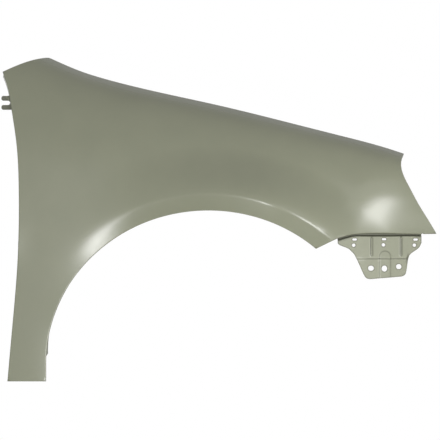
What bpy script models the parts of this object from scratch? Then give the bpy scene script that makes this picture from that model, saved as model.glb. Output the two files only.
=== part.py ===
"""Right-hand front fender of a small car, folded from one sheet of steel.

+X is the front of the car, +Y goes inboard and +Z is up. All sizes are in metres. Places in the XZ
plane are measured from the wheel's axle, and depths from the widest part of the body side. At the
end the panel is set so that the origin lies on the seat of one of its rail pads.
"""

import math

import bmesh
import bpy
import numpy as np

# Sheet
SHEET = 0.00075
BEND_RADIUS = 0.0025
BEND_STEPS = 2
CORNER_RELIEF = 0.006

# Wheel arch: a straight rear leg that runs into half an ellipse, with a flared band round it
ARCH_HALF_LENGTH = 0.348
ARCH_HEIGHT = 0.327
ARCH_CENTRE_Z = 0.021
ARCH_END_DEG = 48.4
BAND_WIDTH = 0.035
BAND_SLOPE = 0.328
SWELL_DEPTH = 0.035
SWELL_REACH = 0.105
SWELL_TOP_DEG = 74.5
SWELL_SPREAD_DEG = 30.4
CREASE_RADIUS = 0.0021
FADED_CREASE_RADIUS = 0.042
FADE_FROM_DEG = 103.0
FADE_TO_DEG = 157.0
LEG_EDGE_SLOPE = 0.033
LEG_EDGE_WIDTH = 0.036
LEG_EDGE_FROM_DEG = 159.2
LEG_EDGE_TO_DEG = 173.2

# Outlines as (x, z), each through the points that its curve needs. The rear ones are measured from the
# rear of the wheel arch, and the nose's from the arch's front end.
SILL_Z = -0.018
REAR_POINTS = [
    (-0.083, SILL_Z),
    (-0.0745, 0.077),
    (-0.0655, 0.177),
    (-0.059, 0.285),
    (-0.0585, 0.392),
    (-0.0635, 0.489),
    (-0.0745, 0.564),
    (-0.0845, 0.616),
    (-0.0955, 0.648),
]
PILLAR_POINTS = [(-0.049, 0.669), (-0.024, 0.677), (0.001, 0.682)]
TOP_POINTS = [
    (-0.2825, 0.654),
    (-0.2165, 0.633),
    (-0.1155, 0.608),
    (0.0205, 0.578),
    (0.1555, 0.545),
    (0.29, 0.511),
    (0.3915, 0.4835),
    (0.425, 0.4725),
]
HEADLAMP_BOWS = [(0.062, 0.0127), (0.177, 0.0204), (0.366, 0.0190), (0.598, 0.0139), (0.827, 0.0058)]
NOSE_POINTS = [(0.264, 0.0325), (0.229, 0.032), (0.16, 0.0335), (0.1065, 0.0335), (0.078, 0.0315)]
BAND_END = (0.045, 0.022)

# Depth of the skin
SHOULDER_TIGHT = 0.0299
SHOULDER_TIGHT_REACH = 0.0107
SHOULDER_SOFT = 0.0616
SHOULDER_SOFT_REACH = 0.0701
LEAN_FROM_Z = 0.298
LEAN_RADIUS = 2.35
SIDE_LEAN = 0.0148
SIDE_LEAN_FROM_Z = 0.440
SIDE_LEAN_RADIUS = 0.0927
NOSE_TUCK = 0.0311
NOSE_TUCK_Z = 0.4135
NOSE_TUCK_REACH = 0.122
NOSE_TUCK_FROM_X = 0.111
NOSE_TUCK_TO_X = 0.322
WRAP_FROM_X = 0.2396
WRAP_LENGTH = 0.3175
WRAP_DEPTH = 0.0874
WRAP_POWER = 1.6
WRAP_LEAN = 0.8325
WRAP_LEVEL_Z = 0.30
REAR_SWELL_SLOPE = 0.101
REAR_SWELL_FROM_X = -0.077
REAR_SWELL_Z = 0.2915
REAR_SWELL_SPREAD = 0.0533
REAR_SWELL_WIDTH = 0.0602

# Mesh of the skin
CURVE_SAMPLES = 2000
SLOPE_STEP = 0.0002
COLUMN_GAP = 0.034
ARCH_ROWS = [CORNER_RELIEF, 0.019, 0.030, 0.0345, 0.039, 0.0465, 0.064, 0.092]
OUTER_ROWS = [0.075, 0.045, 0.028, 0.018, 0.011, CORNER_RELIEF]
MIDDLE_ROWS = 5
ROW_SHARE = 0.85
PILLAR_COLUMN_DEG = 112.0
FRONT_BLEND = 0.25
SKEW_LIMIT = 0.5
SOFTENINGS = 3

# Returns
LIP_LENGTH = 0.017
REAR_RETURN = 0.013
PILLAR_RETURN = 0.010
HEADLAMP_RETURN = 0.012
BAND_END_RETURN = 0.010
SILL_RETURN = 0.025

# Bolt rail along the bonnet edge
RAIL_DROP = 0.022
RAIL_WIDTH = 0.022
RAIL_WALL_LEAN = 0.30
RAIL_PADS_X = [-0.285, -0.080, 0.130, 0.335]
RAIL_PAD_LENGTH = 0.044
RAIL_SLOT = (0.012, 0.008)
RAIL_SLOT_AHEAD = 0.013
ORIGIN_PAD = 1

# Forked fixing tab behind the rear edge
FORK_TOP_Z = 0.5955
FORK_BOTTOM_Z = 0.5655
FORK_TIP_X = -0.098
FORK_SLOT_END_X = -0.0795
FORK_SLOT_WIDTH = 0.0092
FORK_TIP_RADIUS = 0.0042

# Bumper flange under the nose, measured from the arch's front end
PLATE_LEFT_X = 0.047
PLATE_RIGHT_X = 0.2305
PLATE_TOP_Z = 0.027
PLATE_SETBACK = 0.006
CHANNEL_DEPTH = 0.009
CHANNEL_HEIGHT = 0.0055
CHANNEL_CORNER = 0.35
PLATE_FOOT = [
    (PLATE_LEFT_X, 0.013),
    (0.05, 0.009),
    (0.071, 0.0007),
    (0.083, -0.011),
    (0.0945, -0.0342),
    (0.1045, -0.057),
    (0.109, -0.063),
    (0.1165, -0.0652),
    (0.187, -0.0598),
    (0.1945, -0.0565),
    (0.198, -0.0485),
    (0.2, -0.0255),
    (0.202, -0.016),
    (0.2078, -0.0095),
    (0.223, 0.0005),
    (0.229, 0.008),
    (PLATE_RIGHT_X, 0.016),
]
BEADS_X = [0.121, 0.1855]
BEAD_WIDTH = 0.008
BEAD_HEIGHT = 0.0018
BEAD_END_Z = -0.017
BEAD_END_STEP = 0.002
JOGGLE_Z = -0.0213
JOGGLE_REACH = 0.004
JOGGLE_DEPTH = 0.0015
PAD_CENTRE_X = 0.15
PAD_WIDTH = 0.0277
PAD_TOP_Z = -0.003
PAD_HEIGHT = 0.0012
PAD_STEP = 0.003
PLATE_SLOTS = [(0.0837, 0.0206), (0.1482, 0.0211), (0.2175, 0.0202)]
PLATE_SLOT_SIZE = (0.0105, 0.0045)
PLATE_PILOTS = [(0.0818, 0.0083), (0.1467, 0.0089), (0.2148, 0.0081)]
PLATE_PILOT_SIZE = (0.0082, 0.0070)
PLATE_BOLT_HOLES = [(0.12, -0.0414), (0.149, -0.0423), (0.181, -0.0382)]
PLATE_BOLT_SIZES = [(0.0133, 0.0106), (0.0130, 0.0130), (0.0127, 0.0106)]
PLATE_COLUMN_LEAST = 0.0015
PLATE_COLUMN_GAP = 0.014
PLATE_ROWS_Z = [0.0045, PAD_TOP_Z, -0.009]
PLATE_HOLE_ROW_Z = -0.0415
PLATE_ROW_CROWDING = 0.5

# Holes in the arch lip and the sill flange, and the tab that the liner is clipped to
LIP_HOLES_DEG = [160.0, 138.0, 113.0, 86.0, 62.0]
LIP_HOLE = 0.006
SILL_SLOTS_X = [-0.06, -0.026]
SILL_SLOT = (0.012, 0.007)
LINER_TAB_LOW_Z = 0.040
LINER_TAB_HIGH_Z = 0.082
LINER_TAB_REACH = 0.0035

HOLE_SIDES = 12
CUTTER_LENGTH = 0.012
SHARP_DEG = 30.0
PAINT = (0.262, 0.270, 0.208, 1.0)
PAINT_ROUGHNESS = 0.34


def cubic(knots, values):
    """A smooth curve through the values, straight beyond its ends, as a function of the knots' variable."""
    knots = np.array(knots)
    values = np.array(values).reshape(len(knots), -1)
    gaps = np.diff(knots)[:, None]
    slopes = np.diff(values, axis=0) / gaps
    system = np.eye(len(knots))
    bends = np.zeros_like(values)
    for i in range(1, len(knots) - 1):
        before, after = gaps[i - 1, 0], gaps[i, 0]
        system[i, i - 1 : i + 2] = before, 2 * (before + after), after
        bends[i] = 6 * (slopes[i] - slopes[i - 1])
    bends = np.linalg.solve(system, bends)
    first_slope = slopes[0] - gaps[0] * (2 * bends[0] + bends[1]) / 6
    last_slope = slopes[-1] + gaps[-1] * (bends[-2] + 2 * bends[-1]) / 6

    def place(at):
        at = np.atleast_1d(np.asarray(at, float))
        inside = np.clip(at, knots[0], knots[-1])
        i = np.clip(np.searchsorted(knots, inside) - 1, 0, len(gaps) - 1)
        far = ((knots[i + 1] - inside) / gaps[i, 0])[:, None]
        near = 1 - far
        curved = (far**3 - far) * bends[i] + (near**3 - near) * bends[i + 1]
        beyond = np.where(at < inside, 1.0, 0.0)[:, None] * first_slope
        beyond = beyond + np.where(at > inside, 1.0, 0.0)[:, None] * last_slope
        found = far * values[i] + near * values[i + 1] + curved * gaps[i] ** 2 / 6
        return found + (at - inside)[:, None] * beyond

    return place


def curve_through(points):
    """The length of a smooth curve through the points, and its place at any lengths along it."""
    steps = np.linalg.norm(np.diff(np.array(points), axis=0), axis=1)
    knots = np.concatenate([[0.0], np.cumsum(steps)])
    return knots[-1], cubic(knots, points)


def shifted(points, start):
    """The points, measured from a start."""
    return [(start[0] + x, start[1] + z) for x, z in points]


def bowed(first, last, bows):
    """Points from first to last, at shares of the way, set off to the right of the straight line."""
    along = (last[0] - first[0], last[1] - first[1])
    length = math.hypot(*along)
    points = [first]
    for share, bow in bows:
        x = first[0] + share * along[0] + bow * along[1] / length
        points.append((x, first[1] + share * along[1] - bow * along[0] / length))
    return [*points, last]


ARCH_REAR = (-ARCH_HALF_LENGTH, 0.0)
ARCH_FRONT = (
    ARCH_HALF_LENGTH * math.cos(math.radians(ARCH_END_DEG)),
    ARCH_CENTRE_Z + ARCH_HEIGHT * math.sin(math.radians(ARCH_END_DEG)),
)
REAR_EDGE = shifted(REAR_POINTS, ARCH_REAR)
PILLAR_EDGE = [REAR_EDGE[-1], *shifted(PILLAR_POINTS, ARCH_REAR)]
TOP_EDGE = [PILLAR_EDGE[-1], *TOP_POINTS]
LOWER_FRONT_EDGE = shifted([(0.0, 0.0), BAND_END, *NOSE_POINTS[::-1]], ARCH_FRONT)
HEADLAMP_EDGE = bowed(TOP_EDGE[-1], LOWER_FRONT_EDGE[-1], HEADLAMP_BOWS)
TOP_LINE = cubic([x for x, _ in TOP_EDGE], [z for _, z in TOP_EDGE])


def top_line(x):
    """Height of the bonnet edge, carried on past its ends."""
    return TOP_LINE(np.ravel(x))[:, 0].reshape(np.shape(x))


def smooth_step(value, low, high):
    """Zero below the low value, one above the high one, and smooth between them."""
    part = np.clip((value - low) / (high - low), 0.0, 1.0)
    return part * part * (3 - 2 * part)


def soft_ramp(value, radius):
    """Zero below zero and the value above it, rounded over about the radius."""
    return (value + np.sqrt(value * value + radius * radius)) / 2


def arch_distance(x, z):
    """How far a point is outside the edge of the wheel arch."""
    height = z - ARCH_CENTRE_Z
    ratio = np.hypot(x / ARCH_HALF_LENGTH, height / ARCH_HEIGHT)
    round_part = np.hypot(x, height) * (1 - 1 / np.maximum(ratio, 0.1))
    return np.where(height < 0, -x - ARCH_HALF_LENGTH, round_part)


def arch_angle(x, z):
    """Angle round the arch in degrees: 0 at the front, 90 at the top and 180 on the rear leg."""
    height = np.maximum(z - ARCH_CENTRE_Z, 0.0)
    return np.degrees(np.arctan2(height / ARCH_HEIGHT, x / ARCH_HALF_LENGTH))


def flare_depth(x, z):
    """The band round the arch and the swelling over its crease, which fade out down the rear leg."""
    edge = arch_distance(x, z)
    degrees = arch_angle(x, z)
    fade = smooth_step(degrees, FADE_FROM_DEG, FADE_TO_DEG)
    radius = CREASE_RADIUS + (FADED_CREASE_RADIUS - CREASE_RADIUS) * fade
    band = BAND_SLOPE * soft_ramp(BAND_WIDTH - edge, radius)
    beyond = soft_ramp(edge - BAND_WIDTH, radius)
    swell = SWELL_DEPTH * np.exp(-(((degrees - SWELL_TOP_DEG) / SWELL_SPREAD_DEG) ** 2))
    flared = band - swell * (1 - smooth_step(beyond, 0.0, SWELL_REACH))
    near_edge = np.maximum(0.0, 1 - edge / LEG_EDGE_WIDTH)
    plain = LEG_EDGE_SLOPE * LEG_EDGE_WIDTH * near_edge**2 / 2
    return (1 - fade) * flared + plain * smooth_step(degrees, LEG_EDGE_FROM_DEG, LEG_EDGE_TO_DEG)


def shoulder_depth(x, z):
    """The turn of the skin in towards the bonnet edge."""
    below = np.maximum(top_line(x) - z, 0.0)
    tight = SHOULDER_TIGHT * np.exp(-below / SHOULDER_TIGHT_REACH)
    soft = SHOULDER_SOFT * np.exp(-below / SHOULDER_SOFT_REACH)
    lean = np.maximum(z - LEAN_FROM_Z, 0.0) ** 2 / (2 * LEAN_RADIUS)
    return tight + soft + lean


def tuck_depth(x, z):
    """The body side's lean in towards the sill, and the nose's turn in towards the bumper."""
    side = SIDE_LEAN * soft_ramp(SIDE_LEAN_FROM_Z - z, SIDE_LEAN_RADIUS)
    share = smooth_step(x, NOSE_TUCK_FROM_X, NOSE_TUCK_TO_X)
    return side + NOSE_TUCK * share * (1 - np.tanh((z - NOSE_TUCK_Z) / NOSE_TUCK_REACH)) / 2


def wrap_depth(x, z):
    """The turn of the nose in towards the front of the car, which starts further back lower down."""
    ahead = x - WRAP_LEAN * (z - WRAP_LEVEL_Z) - WRAP_FROM_X
    return WRAP_DEPTH * (np.maximum(ahead, 0.0) / WRAP_LENGTH) ** WRAP_POWER


def rear_swell_depth(x, z):
    """The slight rise of the skin out to the door's edge."""
    ahead = x - ARCH_REAR[0] - REAR_SWELL_FROM_X
    near_edge = np.maximum(0.0, 1 - ahead / REAR_SWELL_WIDTH)
    rise = REAR_SWELL_SLOPE * REAR_SWELL_WIDTH * near_edge**2 / 2
    return -rise * np.exp(-(((z - REAR_SWELL_Z) / REAR_SWELL_SPREAD) ** 2))


def skin_depth(x, z):
    """Depth of the skin at a point of the XZ plane."""
    local = flare_depth(x, z) + rear_swell_depth(x, z)
    overall = shoulder_depth(x, z) + tuck_depth(x, z) + wrap_depth(x, z)
    return local + overall


def skin_slopes(x, z):
    """How fast the depth grows along x and along z."""
    along_x = (skin_depth(x + SLOPE_STEP, z) - skin_depth(x - SLOPE_STEP, z)) / (2 * SLOPE_STEP)
    along_z = (skin_depth(x, z + SLOPE_STEP) - skin_depth(x, z - SLOPE_STEP)) / (2 * SLOPE_STEP)
    return along_x, along_z


def filled(stations, largest_gap):
    """The stations, with even steps between them wherever a gap is too large."""
    stations = sorted(stations)
    places = [stations[0]]
    for low, high in zip(stations, stations[1:]):
        steps = max(1, math.ceil((high - low) / largest_gap - 1e-6))
        places.extend(low + (high - low) * k / steps for k in range(1, steps + 1))
    return np.array(places)


def length_where(curve, length, axis, values):
    """Lengths along a curve at which a coordinate has the given values."""
    lengths = np.linspace(0, length, CURVE_SAMPLES)
    coordinate = curve(lengths)[:, axis]
    order = np.argsort(coordinate)
    return list(np.interp(values, coordinate[order], lengths[order]))


def outer_columns():
    """Points round the outer edge from the sill to the nose, and the index of each corner among them."""
    rail_ends = [x + side * RAIL_PAD_LENGTH / 2 for x in RAIL_PADS_X for side in (-1, 1)]
    wanted = [(1, [FORK_BOTTOM_Z, FORK_TOP_Z]), (0, []), (0, rail_ends), (0, [])]
    points, corners, lengths = [], [0], []
    start = 0.0
    for edge, (axis, values) in zip((REAR_EDGE, PILLAR_EDGE, TOP_EDGE, HEADLAMP_EDGE), wanted):
        length, curve = curve_through(edge)
        stations = [0.0, CORNER_RELIEF, length - CORNER_RELIEF, length]
        stations += length_where(curve, length, axis, values)
        places = filled(stations, COLUMN_GAP)
        skip = 1 if points else 0
        points.extend(curve(places[skip:]))
        lengths.extend(start + places[skip:])
        corners.append(len(points) - 1)
        start += length
    return np.array(points), np.array(lengths), corners


def arch_columns(outer_lengths, pillar_length):
    """Points along the arch edge from the sill to its front end, one for each outer point."""
    angles = np.radians(np.linspace(180.0, ARCH_END_DEG, CURVE_SAMPLES))
    x = np.concatenate([[-ARCH_HALF_LENGTH], ARCH_HALF_LENGTH * np.cos(angles)])
    z = np.concatenate([[SILL_Z], ARCH_CENTRE_Z + ARCH_HEIGHT * np.sin(angles)])
    along = np.concatenate([[0.0], np.cumsum(np.hypot(np.diff(x), np.diff(z)))])
    corner = np.interp(-PILLAR_COLUMN_DEG, np.degrees(-angles), along[1:])
    last = outer_lengths[-1]
    ends = [0.0, CORNER_RELIEF, pillar_length, last - CORNER_RELIEF, last]
    arch_ends = [0.0, CORNER_RELIEF, corner, along[-1] - CORNER_RELIEF, along[-1]]
    places = np.interp(outer_lengths, ends, arch_ends)
    return np.stack([np.interp(places, along, x), np.interp(places, along, z)], axis=1), places


def lower_front_line(parts):
    """Points from the front end of the arch to the corner of the nose, at the given shares of the way."""
    nose_length, nose = curve_through(LOWER_FRONT_EDGE[2:])
    curve = nose(np.linspace(0, nose_length, CURVE_SAMPLES))
    points = np.concatenate([LOWER_FRONT_EDGE[:2], curve])
    share = (points[:, 0] - points[0, 0]) / (points[-1, 0] - points[0, 0])
    x = np.interp(parts, share, points[:, 0])
    return np.stack([x, np.interp(parts, share, points[:, 1])], axis=1)


def rows_scaled(rows, scale):
    """The rows' distances from their edge, drawn together behind the relief where the skin is narrow."""
    return CORNER_RELIEF + (np.array(rows) - CORNER_RELIEF) * scale


def softened(values):
    """The values, each blended a few times with its neighbours."""
    for _ in range(SOFTENINGS):
        around = np.pad(values, 1, mode="edge")
        values = (around[:-2] + 2 * values + around[2:]) / 4
    return values


def skin_grid():
    """Points of the skin in the XZ plane, as columns from the arch edge to the outer edge."""
    outer, outer_lengths, corners = outer_columns()
    arch, arch_lengths = arch_columns(outer_lengths, outer_lengths[corners[1]])
    parts = np.linspace(0, 1, CURVE_SAMPLES)
    straight = arch[-1] + parts[:, None] * (outer[-1] - arch[-1])
    to_front = lower_front_line(parts) - straight
    reach = arch_lengths[-1] * FRONT_BLEND
    along = unit(np.gradient(outer, axis=0))
    across = unit(outer - arch)
    crossing = np.abs(across[:, 0] * along[:, 1] - across[:, 1] * along[:, 0])
    squares = softened(np.maximum(SKEW_LIMIT, crossing))
    grid = []
    for low, high, length, square in zip(arch, outer, arch_lengths, squares):
        path = low + parts[:, None] * (high - low)
        path = path + max(0.0, 1 - (arch_lengths[-1] - length) / reach) ** 2 * to_front
        run = np.concatenate([[0.0], np.cumsum(np.linalg.norm(np.diff(path, axis=0), axis=1))])
        edge = np.maximum.accumulate(arch_distance(path[:, 0], path[:, 1]))
        room = ROW_SHARE * run[-1] - 2 * CORNER_RELIEF
        scale = min(1.0, room / (ARCH_ROWS[-1] + OUTER_ROWS[0] / square - 2 * CORNER_RELIEF))
        near = np.interp(rows_scaled(ARCH_ROWS, scale), edge, run)
        far = run[-1] - rows_scaled(OUTER_ROWS, scale) / square
        middle = np.linspace(near[-1], far[0], MIDDLE_ROWS + 1)[1:-1]
        places = np.concatenate([[0.0], near, middle, far, run[-1:]])
        grid.append([[np.interp(p, run, path[:, 0]), np.interp(p, run, path[:, 1])] for p in places])
    return np.array(grid), corners


class Sheet:
    """Points and faces of the folded sheet, before it gets its thickness."""

    def __init__(self):
        self.points = []
        self.faces = []

    def add(self, points):
        """Adds points of shape (..., 3) and gives their numbers in the same shape."""
        points = np.asarray(points, float)
        first = len(self.points)
        self.points.extend(points.reshape(-1, 3))
        return np.arange(first, len(self.points)).reshape(points.shape[:-1])

    def join(self, row, other):
        """Faces between two rows of as many points."""
        for i in range(len(row) - 1):
            self.faces.append([row[i], row[i + 1], other[i + 1], other[i]])

    def zip(self, row, other):
        """Triangles between two rows that both run along +X with different steps."""
        i, j = 0, 0
        while i < len(row) - 1 or j < len(other) - 1:
            next_row = self.points[row[i + 1]][0] if i < len(row) - 1 else math.inf
            next_other = self.points[other[j + 1]][0] if j < len(other) - 1 else math.inf
            if next_row < next_other:
                self.faces.append([row[i], row[i + 1], other[j]])
                i += 1
            else:
                self.faces.append([row[i], other[j + 1], other[j]])
                j += 1


def unit(vectors):
    """The vectors brought to a length of one."""
    return vectors / np.linalg.norm(vectors, axis=-1, keepdims=True)


def edge_frames(line, outward):
    """Directions at each point of a skin edge: out of the edge along the skin, and into the body."""
    along_x, along_z = skin_slopes(line[:, 0], line[:, 1])
    rise = along_x * outward[:, 0] + along_z * outward[:, 1]
    leave = np.stack([outward[:, 0], rise, outward[:, 1]], axis=1)
    inward = np.stack([-along_x, np.ones(len(line)), -along_z], axis=1)
    return unit(leave), unit(inward)


def outward_of(line, inside):
    """Unit normals of a line in the XZ plane, away from a line of points inside it."""
    along = unit(np.gradient(line, axis=0))
    normal = np.stack([along[:, 1], -along[:, 0]], axis=1)
    side = np.sign(np.sum(normal * (line - inside), axis=1, keepdims=True))
    return normal * side


def drawn_in(line, outward):
    """The edge moved in by a bend's radius, so that the bend ends at the outline."""
    along_x, along_z = skin_slopes(line[:, 0], line[:, 1])
    steep = along_x * outward[:, 0] + along_z * outward[:, 1]
    return line - outward * (BEND_RADIUS / np.sqrt(1 + steep**2))[:, None]


def bend_rows(points, leave, inward):
    """Rows of points round a quarter bend from the skin's edge."""
    rows = []
    for k in range(1, BEND_STEPS + 1):
        turn = math.pi / 2 * k / BEND_STEPS
        rows.append(points + BEND_RADIUS * (math.sin(turn) * leave + (1 - math.cos(turn)) * inward))
    return rows


def on_skin(line):
    """Points of the skin over a line in the XZ plane."""
    return np.stack([line[:, 0], skin_depth(line[:, 0], line[:, 1]), line[:, 1]], axis=1)


class Edge:
    """A stretch of the skin's edge that is folded in, with its points, numbers and directions."""

    def __init__(self, sheet, numbers, line, inside):
        self.sheet = sheet
        self.numbers = numbers
        self.outward = outward_of(line, inside)
        self.line = drawn_in(line, self.outward)
        self.points = on_skin(self.line)
        self.leave, self.inward = edge_frames(self.line, self.outward)
        for number, point in zip(numbers, self.points):
            sheet.points[number] = point
        self.rows = bend_rows(self.points, self.leave, self.inward)
        self.bend = [numbers]

    def fold(self, length):
        """Folds the edge in, leaves a flat return of this length and gives its last row."""
        return self.follow(self.rows + [self.rows[-1] + length * self.inward])

    def follow(self, rows):
        """Adds rows of points one after the other, and gives the last row's numbers and points."""
        last = self.numbers
        for row in rows:
            numbers = self.sheet.add(row)
            self.sheet.join(last, numbers)
            self.bend.append(numbers)
            last = numbers
        return last, rows[-1]

    def end(self, place):
        """The numbers round the bend at the first or the last of the edge's points."""
        return [row[place] for row in self.bend[:BEND_STEPS + 1]]


def rail_height(x):
    """Height of the bolt rail: level at each pad, and sloping from pad to pad."""
    knots, heights = [], []
    for pad in RAIL_PADS_X:
        level = float(top_line(np.array([pad]))[0]) - RAIL_DROP
        for end in (-RAIL_PAD_LENGTH / 2, RAIL_PAD_LENGTH / 2):
            knots.append(pad + end)
            heights.append(level)
    ends = [TOP_EDGE[0][0], TOP_EDGE[-1][0]]
    end_heights = [TOP_EDGE[0][1] - RAIL_DROP, TOP_EDGE[-1][1] - RAIL_DROP]
    return np.interp(x, [ends[0], *knots, ends[1]], [end_heights[0], *heights, end_heights[1]])


def fold_rail(edge):
    """The wall below the bonnet edge and the level rail at its foot."""
    top = edge.rows[-1]
    x = top[:, 0]
    floor = rail_height(x)
    foot_y = top[:, 1] + RAIL_WALL_LEAN * (top[:, 2] - floor - BEND_RADIUS)
    turn = BEND_RADIUS * math.sin(math.pi / 4)
    back = BEND_RADIUS - turn
    rows = [
        np.stack([x, foot_y, floor + BEND_RADIUS], axis=1),
        np.stack([x, foot_y + back, floor + back], axis=1),
        np.stack([x, foot_y + BEND_RADIUS, floor], axis=1),
        np.stack([x, foot_y + RAIL_WIDTH, floor], axis=1),
    ]
    edge.follow(edge.rows + rows)
    return rows[-2], rows[-1]


def fork_outline(root_x):
    """The fixing tab in the XZ plane before its slot is cut, with two round prong ends."""
    middle = (FORK_TOP_Z + FORK_BOTTOM_Z) / 2
    half_slot = FORK_SLOT_WIDTH / 2
    radius = min(FORK_TIP_RADIUS, (FORK_TOP_Z - middle - half_slot) / 2)
    upper = []
    for turn in np.radians(np.linspace(0, 90, 4)):
        upper.append((radius * (1 - math.sin(turn)), FORK_TOP_Z - radius * (1 - math.cos(turn))))
    for turn in np.radians(np.linspace(0, 90, 4)):
        upper.append((radius * (1 - math.cos(turn)), middle + half_slot + radius * (1 - math.sin(turn))))
    upper = shifted(upper, (ARCH_REAR[0] + FORK_TIP_X, 0.0))
    lower = [(x, 2 * middle - z) for x, z in upper[::-1]]
    return [(root_x, FORK_TOP_Z), *upper, *lower, (root_x, FORK_BOTTOM_Z)]


def add_fork(sheet, numbers, points):
    """The fixing tab, bent back from the rear return over one step of its columns."""
    depth = points[:, 1].max()
    for number, point in zip(numbers, points):
        sheet.points[number] = np.array([point[0], depth, point[2]])
    root_x = points[:, 0].min() - BEND_RADIUS
    turn = BEND_RADIUS * (1 - math.sin(math.pi / 4))
    half_way = np.full(len(points), depth + BEND_RADIUS - turn)
    middle = sheet.add(np.stack([points[:, 0] - turn, half_way, points[:, 2]], axis=1))
    sheet.join(numbers, middle)
    tab = sheet.add([(x, depth + BEND_RADIUS, z) for x, z in fork_outline(root_x)])
    sheet.join(middle, [tab[-1], tab[0]])
    sheet.faces.append(list(tab))
    return depth + BEND_RADIUS


def plate_relief(x, z):
    """How far the flange lies inboard of its plane, for its joggle, beads and pad."""
    relief = JOGGLE_DEPTH * smooth_step(JOGGLE_Z - z, -JOGGLE_REACH / 2, JOGGLE_REACH / 2)
    for bead in BEADS_X:
        across = np.maximum(0.0, 1 - np.abs(x - bead) / (BEAD_WIDTH / 2))
        relief = relief - BEAD_HEIGHT * across * (z > BEAD_END_Z)
    half = PAD_WIDTH / 2
    beside = np.abs(x - PAD_CENTRE_X)
    above = np.maximum(z - (PAD_TOP_Z - half), 0.0)
    outside = np.hypot(beside, above) - half
    return relief - PAD_HEIGHT * (1 - smooth_step(outside, -PAD_STEP, 0.0))


def plate_columns():
    """Places along X of the flange's columns: its corners, beads and pad, and even steps between."""
    stops = [x for x, _ in PLATE_FOOT]
    for bead in BEADS_X:
        stops += [bead - BEAD_WIDTH / 2, bead, bead + BEAD_WIDTH / 2]
    half = PAD_WIDTH / 2
    stops += [PAD_CENTRE_X + side * reach for side in (-1, 1) for reach in (half, half - PAD_STEP, half / 3)]
    kept = [min(stops)]
    for stop in sorted(stops):
        if stop - kept[-1] > PLATE_COLUMN_LEAST:
            kept.append(stop)
    kept[-1] = max(stops)
    return filled(kept, PLATE_COLUMN_GAP)


def add_plate(sheet, edge):
    """The channel under the nose and the perforated plate that hangs from it."""
    across = plate_columns()
    x = ARCH_FRONT[0] + across
    lip = edge.rows[-1]
    limits = [ARCH_FRONT[0] + PLATE_LEFT_X, ARCH_FRONT[0] + PLATE_RIGHT_X]
    ends = np.interp(limits, lip[:, 0], lip[:, 1]) + PLATE_SETBACK
    face = np.interp(x, limits, ends)
    level = np.interp(x, lip[:, 0], lip[:, 2])
    top = np.minimum(level - CHANNEL_HEIGHT, ARCH_FRONT[1] + PLATE_TOP_Z)
    back = face + CHANNEL_DEPTH
    corner = (level - top) * CHANNEL_CORNER
    rows = [
        (back - corner, level),
        (back, level - corner),
        (back, top + corner),
        (back - corner, top),
        (face + corner, top),
        (face, top - corner),
    ]
    first = sheet.add(np.stack([x, rows[0][0], rows[0][1]], axis=1))
    edge_numbers, _ = edge.follow(edge.rows)
    sheet.zip(edge_numbers, first)
    last = first
    for depth, height in rows[1:]:
        row = sheet.add(np.stack([x, depth, height], axis=1))
        sheet.join(last, row)
        last = row
    low = rows[-1][1] - ARCH_FRONT[1]
    foot = np.interp(across, [p[0] for p in PLATE_FOOT], [p[1] for p in PLATE_FOOT])
    bead_ends = [BEAD_END_Z + BEAD_END_STEP / 2, BEAD_END_Z - BEAD_END_STEP / 2]
    joggle = [JOGGLE_Z + JOGGLE_REACH / 2, JOGGLE_Z - JOGGLE_REACH / 2]
    stops = [*PLATE_ROWS_Z, *bead_ends, *joggle, PLATE_HOLE_ROW_Z, foot.min()]
    for k, stop in enumerate(stops, start=1):
        left = PLATE_ROW_CROWDING * (1 - k / len(stops))
        height = np.maximum(stop, foot + left * (low - foot))
        depth = face + plate_relief(across, height)
        row = sheet.add(np.stack([x, depth, ARCH_FRONT[1] + height], axis=1))
        sheet.join(last, row)
        last = row
    return ends


def add_skin(sheet):
    """The outer skin, and the numbers of its points by column and row."""
    grid, corners = skin_grid()
    depth = skin_depth(grid[..., 0], grid[..., 1])
    numbers = sheet.add(np.stack([grid[..., 0], depth, grid[..., 1]], axis=-1))
    for low, high in zip(numbers, numbers[1:]):
        sheet.join(low, high)
    return grid, numbers, corners


class Corner:
    """A corner of the skin between two edges, where their bends run into each other."""

    def __init__(self, sheet, number, *ends):
        self.sheet = sheet
        self.number = number
        self.ends = ends
        point = sheet.points[number]
        outward = np.array([edge.outward[place] for edge, place, _ in ends])
        folded = np.array([1.0 if bent else 0.0 for _, _, bent in ends])
        self.way = np.linalg.lstsq(outward, folded, rcond=None)[0]
        self.line = drawn_in(np.array([[point[0], point[2]]]), self.way[None])
        self.point = on_skin(self.line)[0]
        sheet.points[number] = self.point

    def close(self):
        """Carries the bends of the folded edges round the corner."""
        _, inward = edge_frames(self.line, self.way[None])
        along_x, along_z = skin_slopes(self.line[:, 0], self.line[:, 1])
        steep = (along_x * self.way[0] + along_z * self.way[1])[0]
        leave = np.array([self.way[0], steep, self.way[1]]) / math.sqrt(1 + steep**2)
        column = [self.number, *self.sheet.add(bend_rows(self.point, leave, inward[0]))]
        for edge, place, bent in self.ends:
            if bent:
                self.sheet.join(edge.end(place), column)


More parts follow.
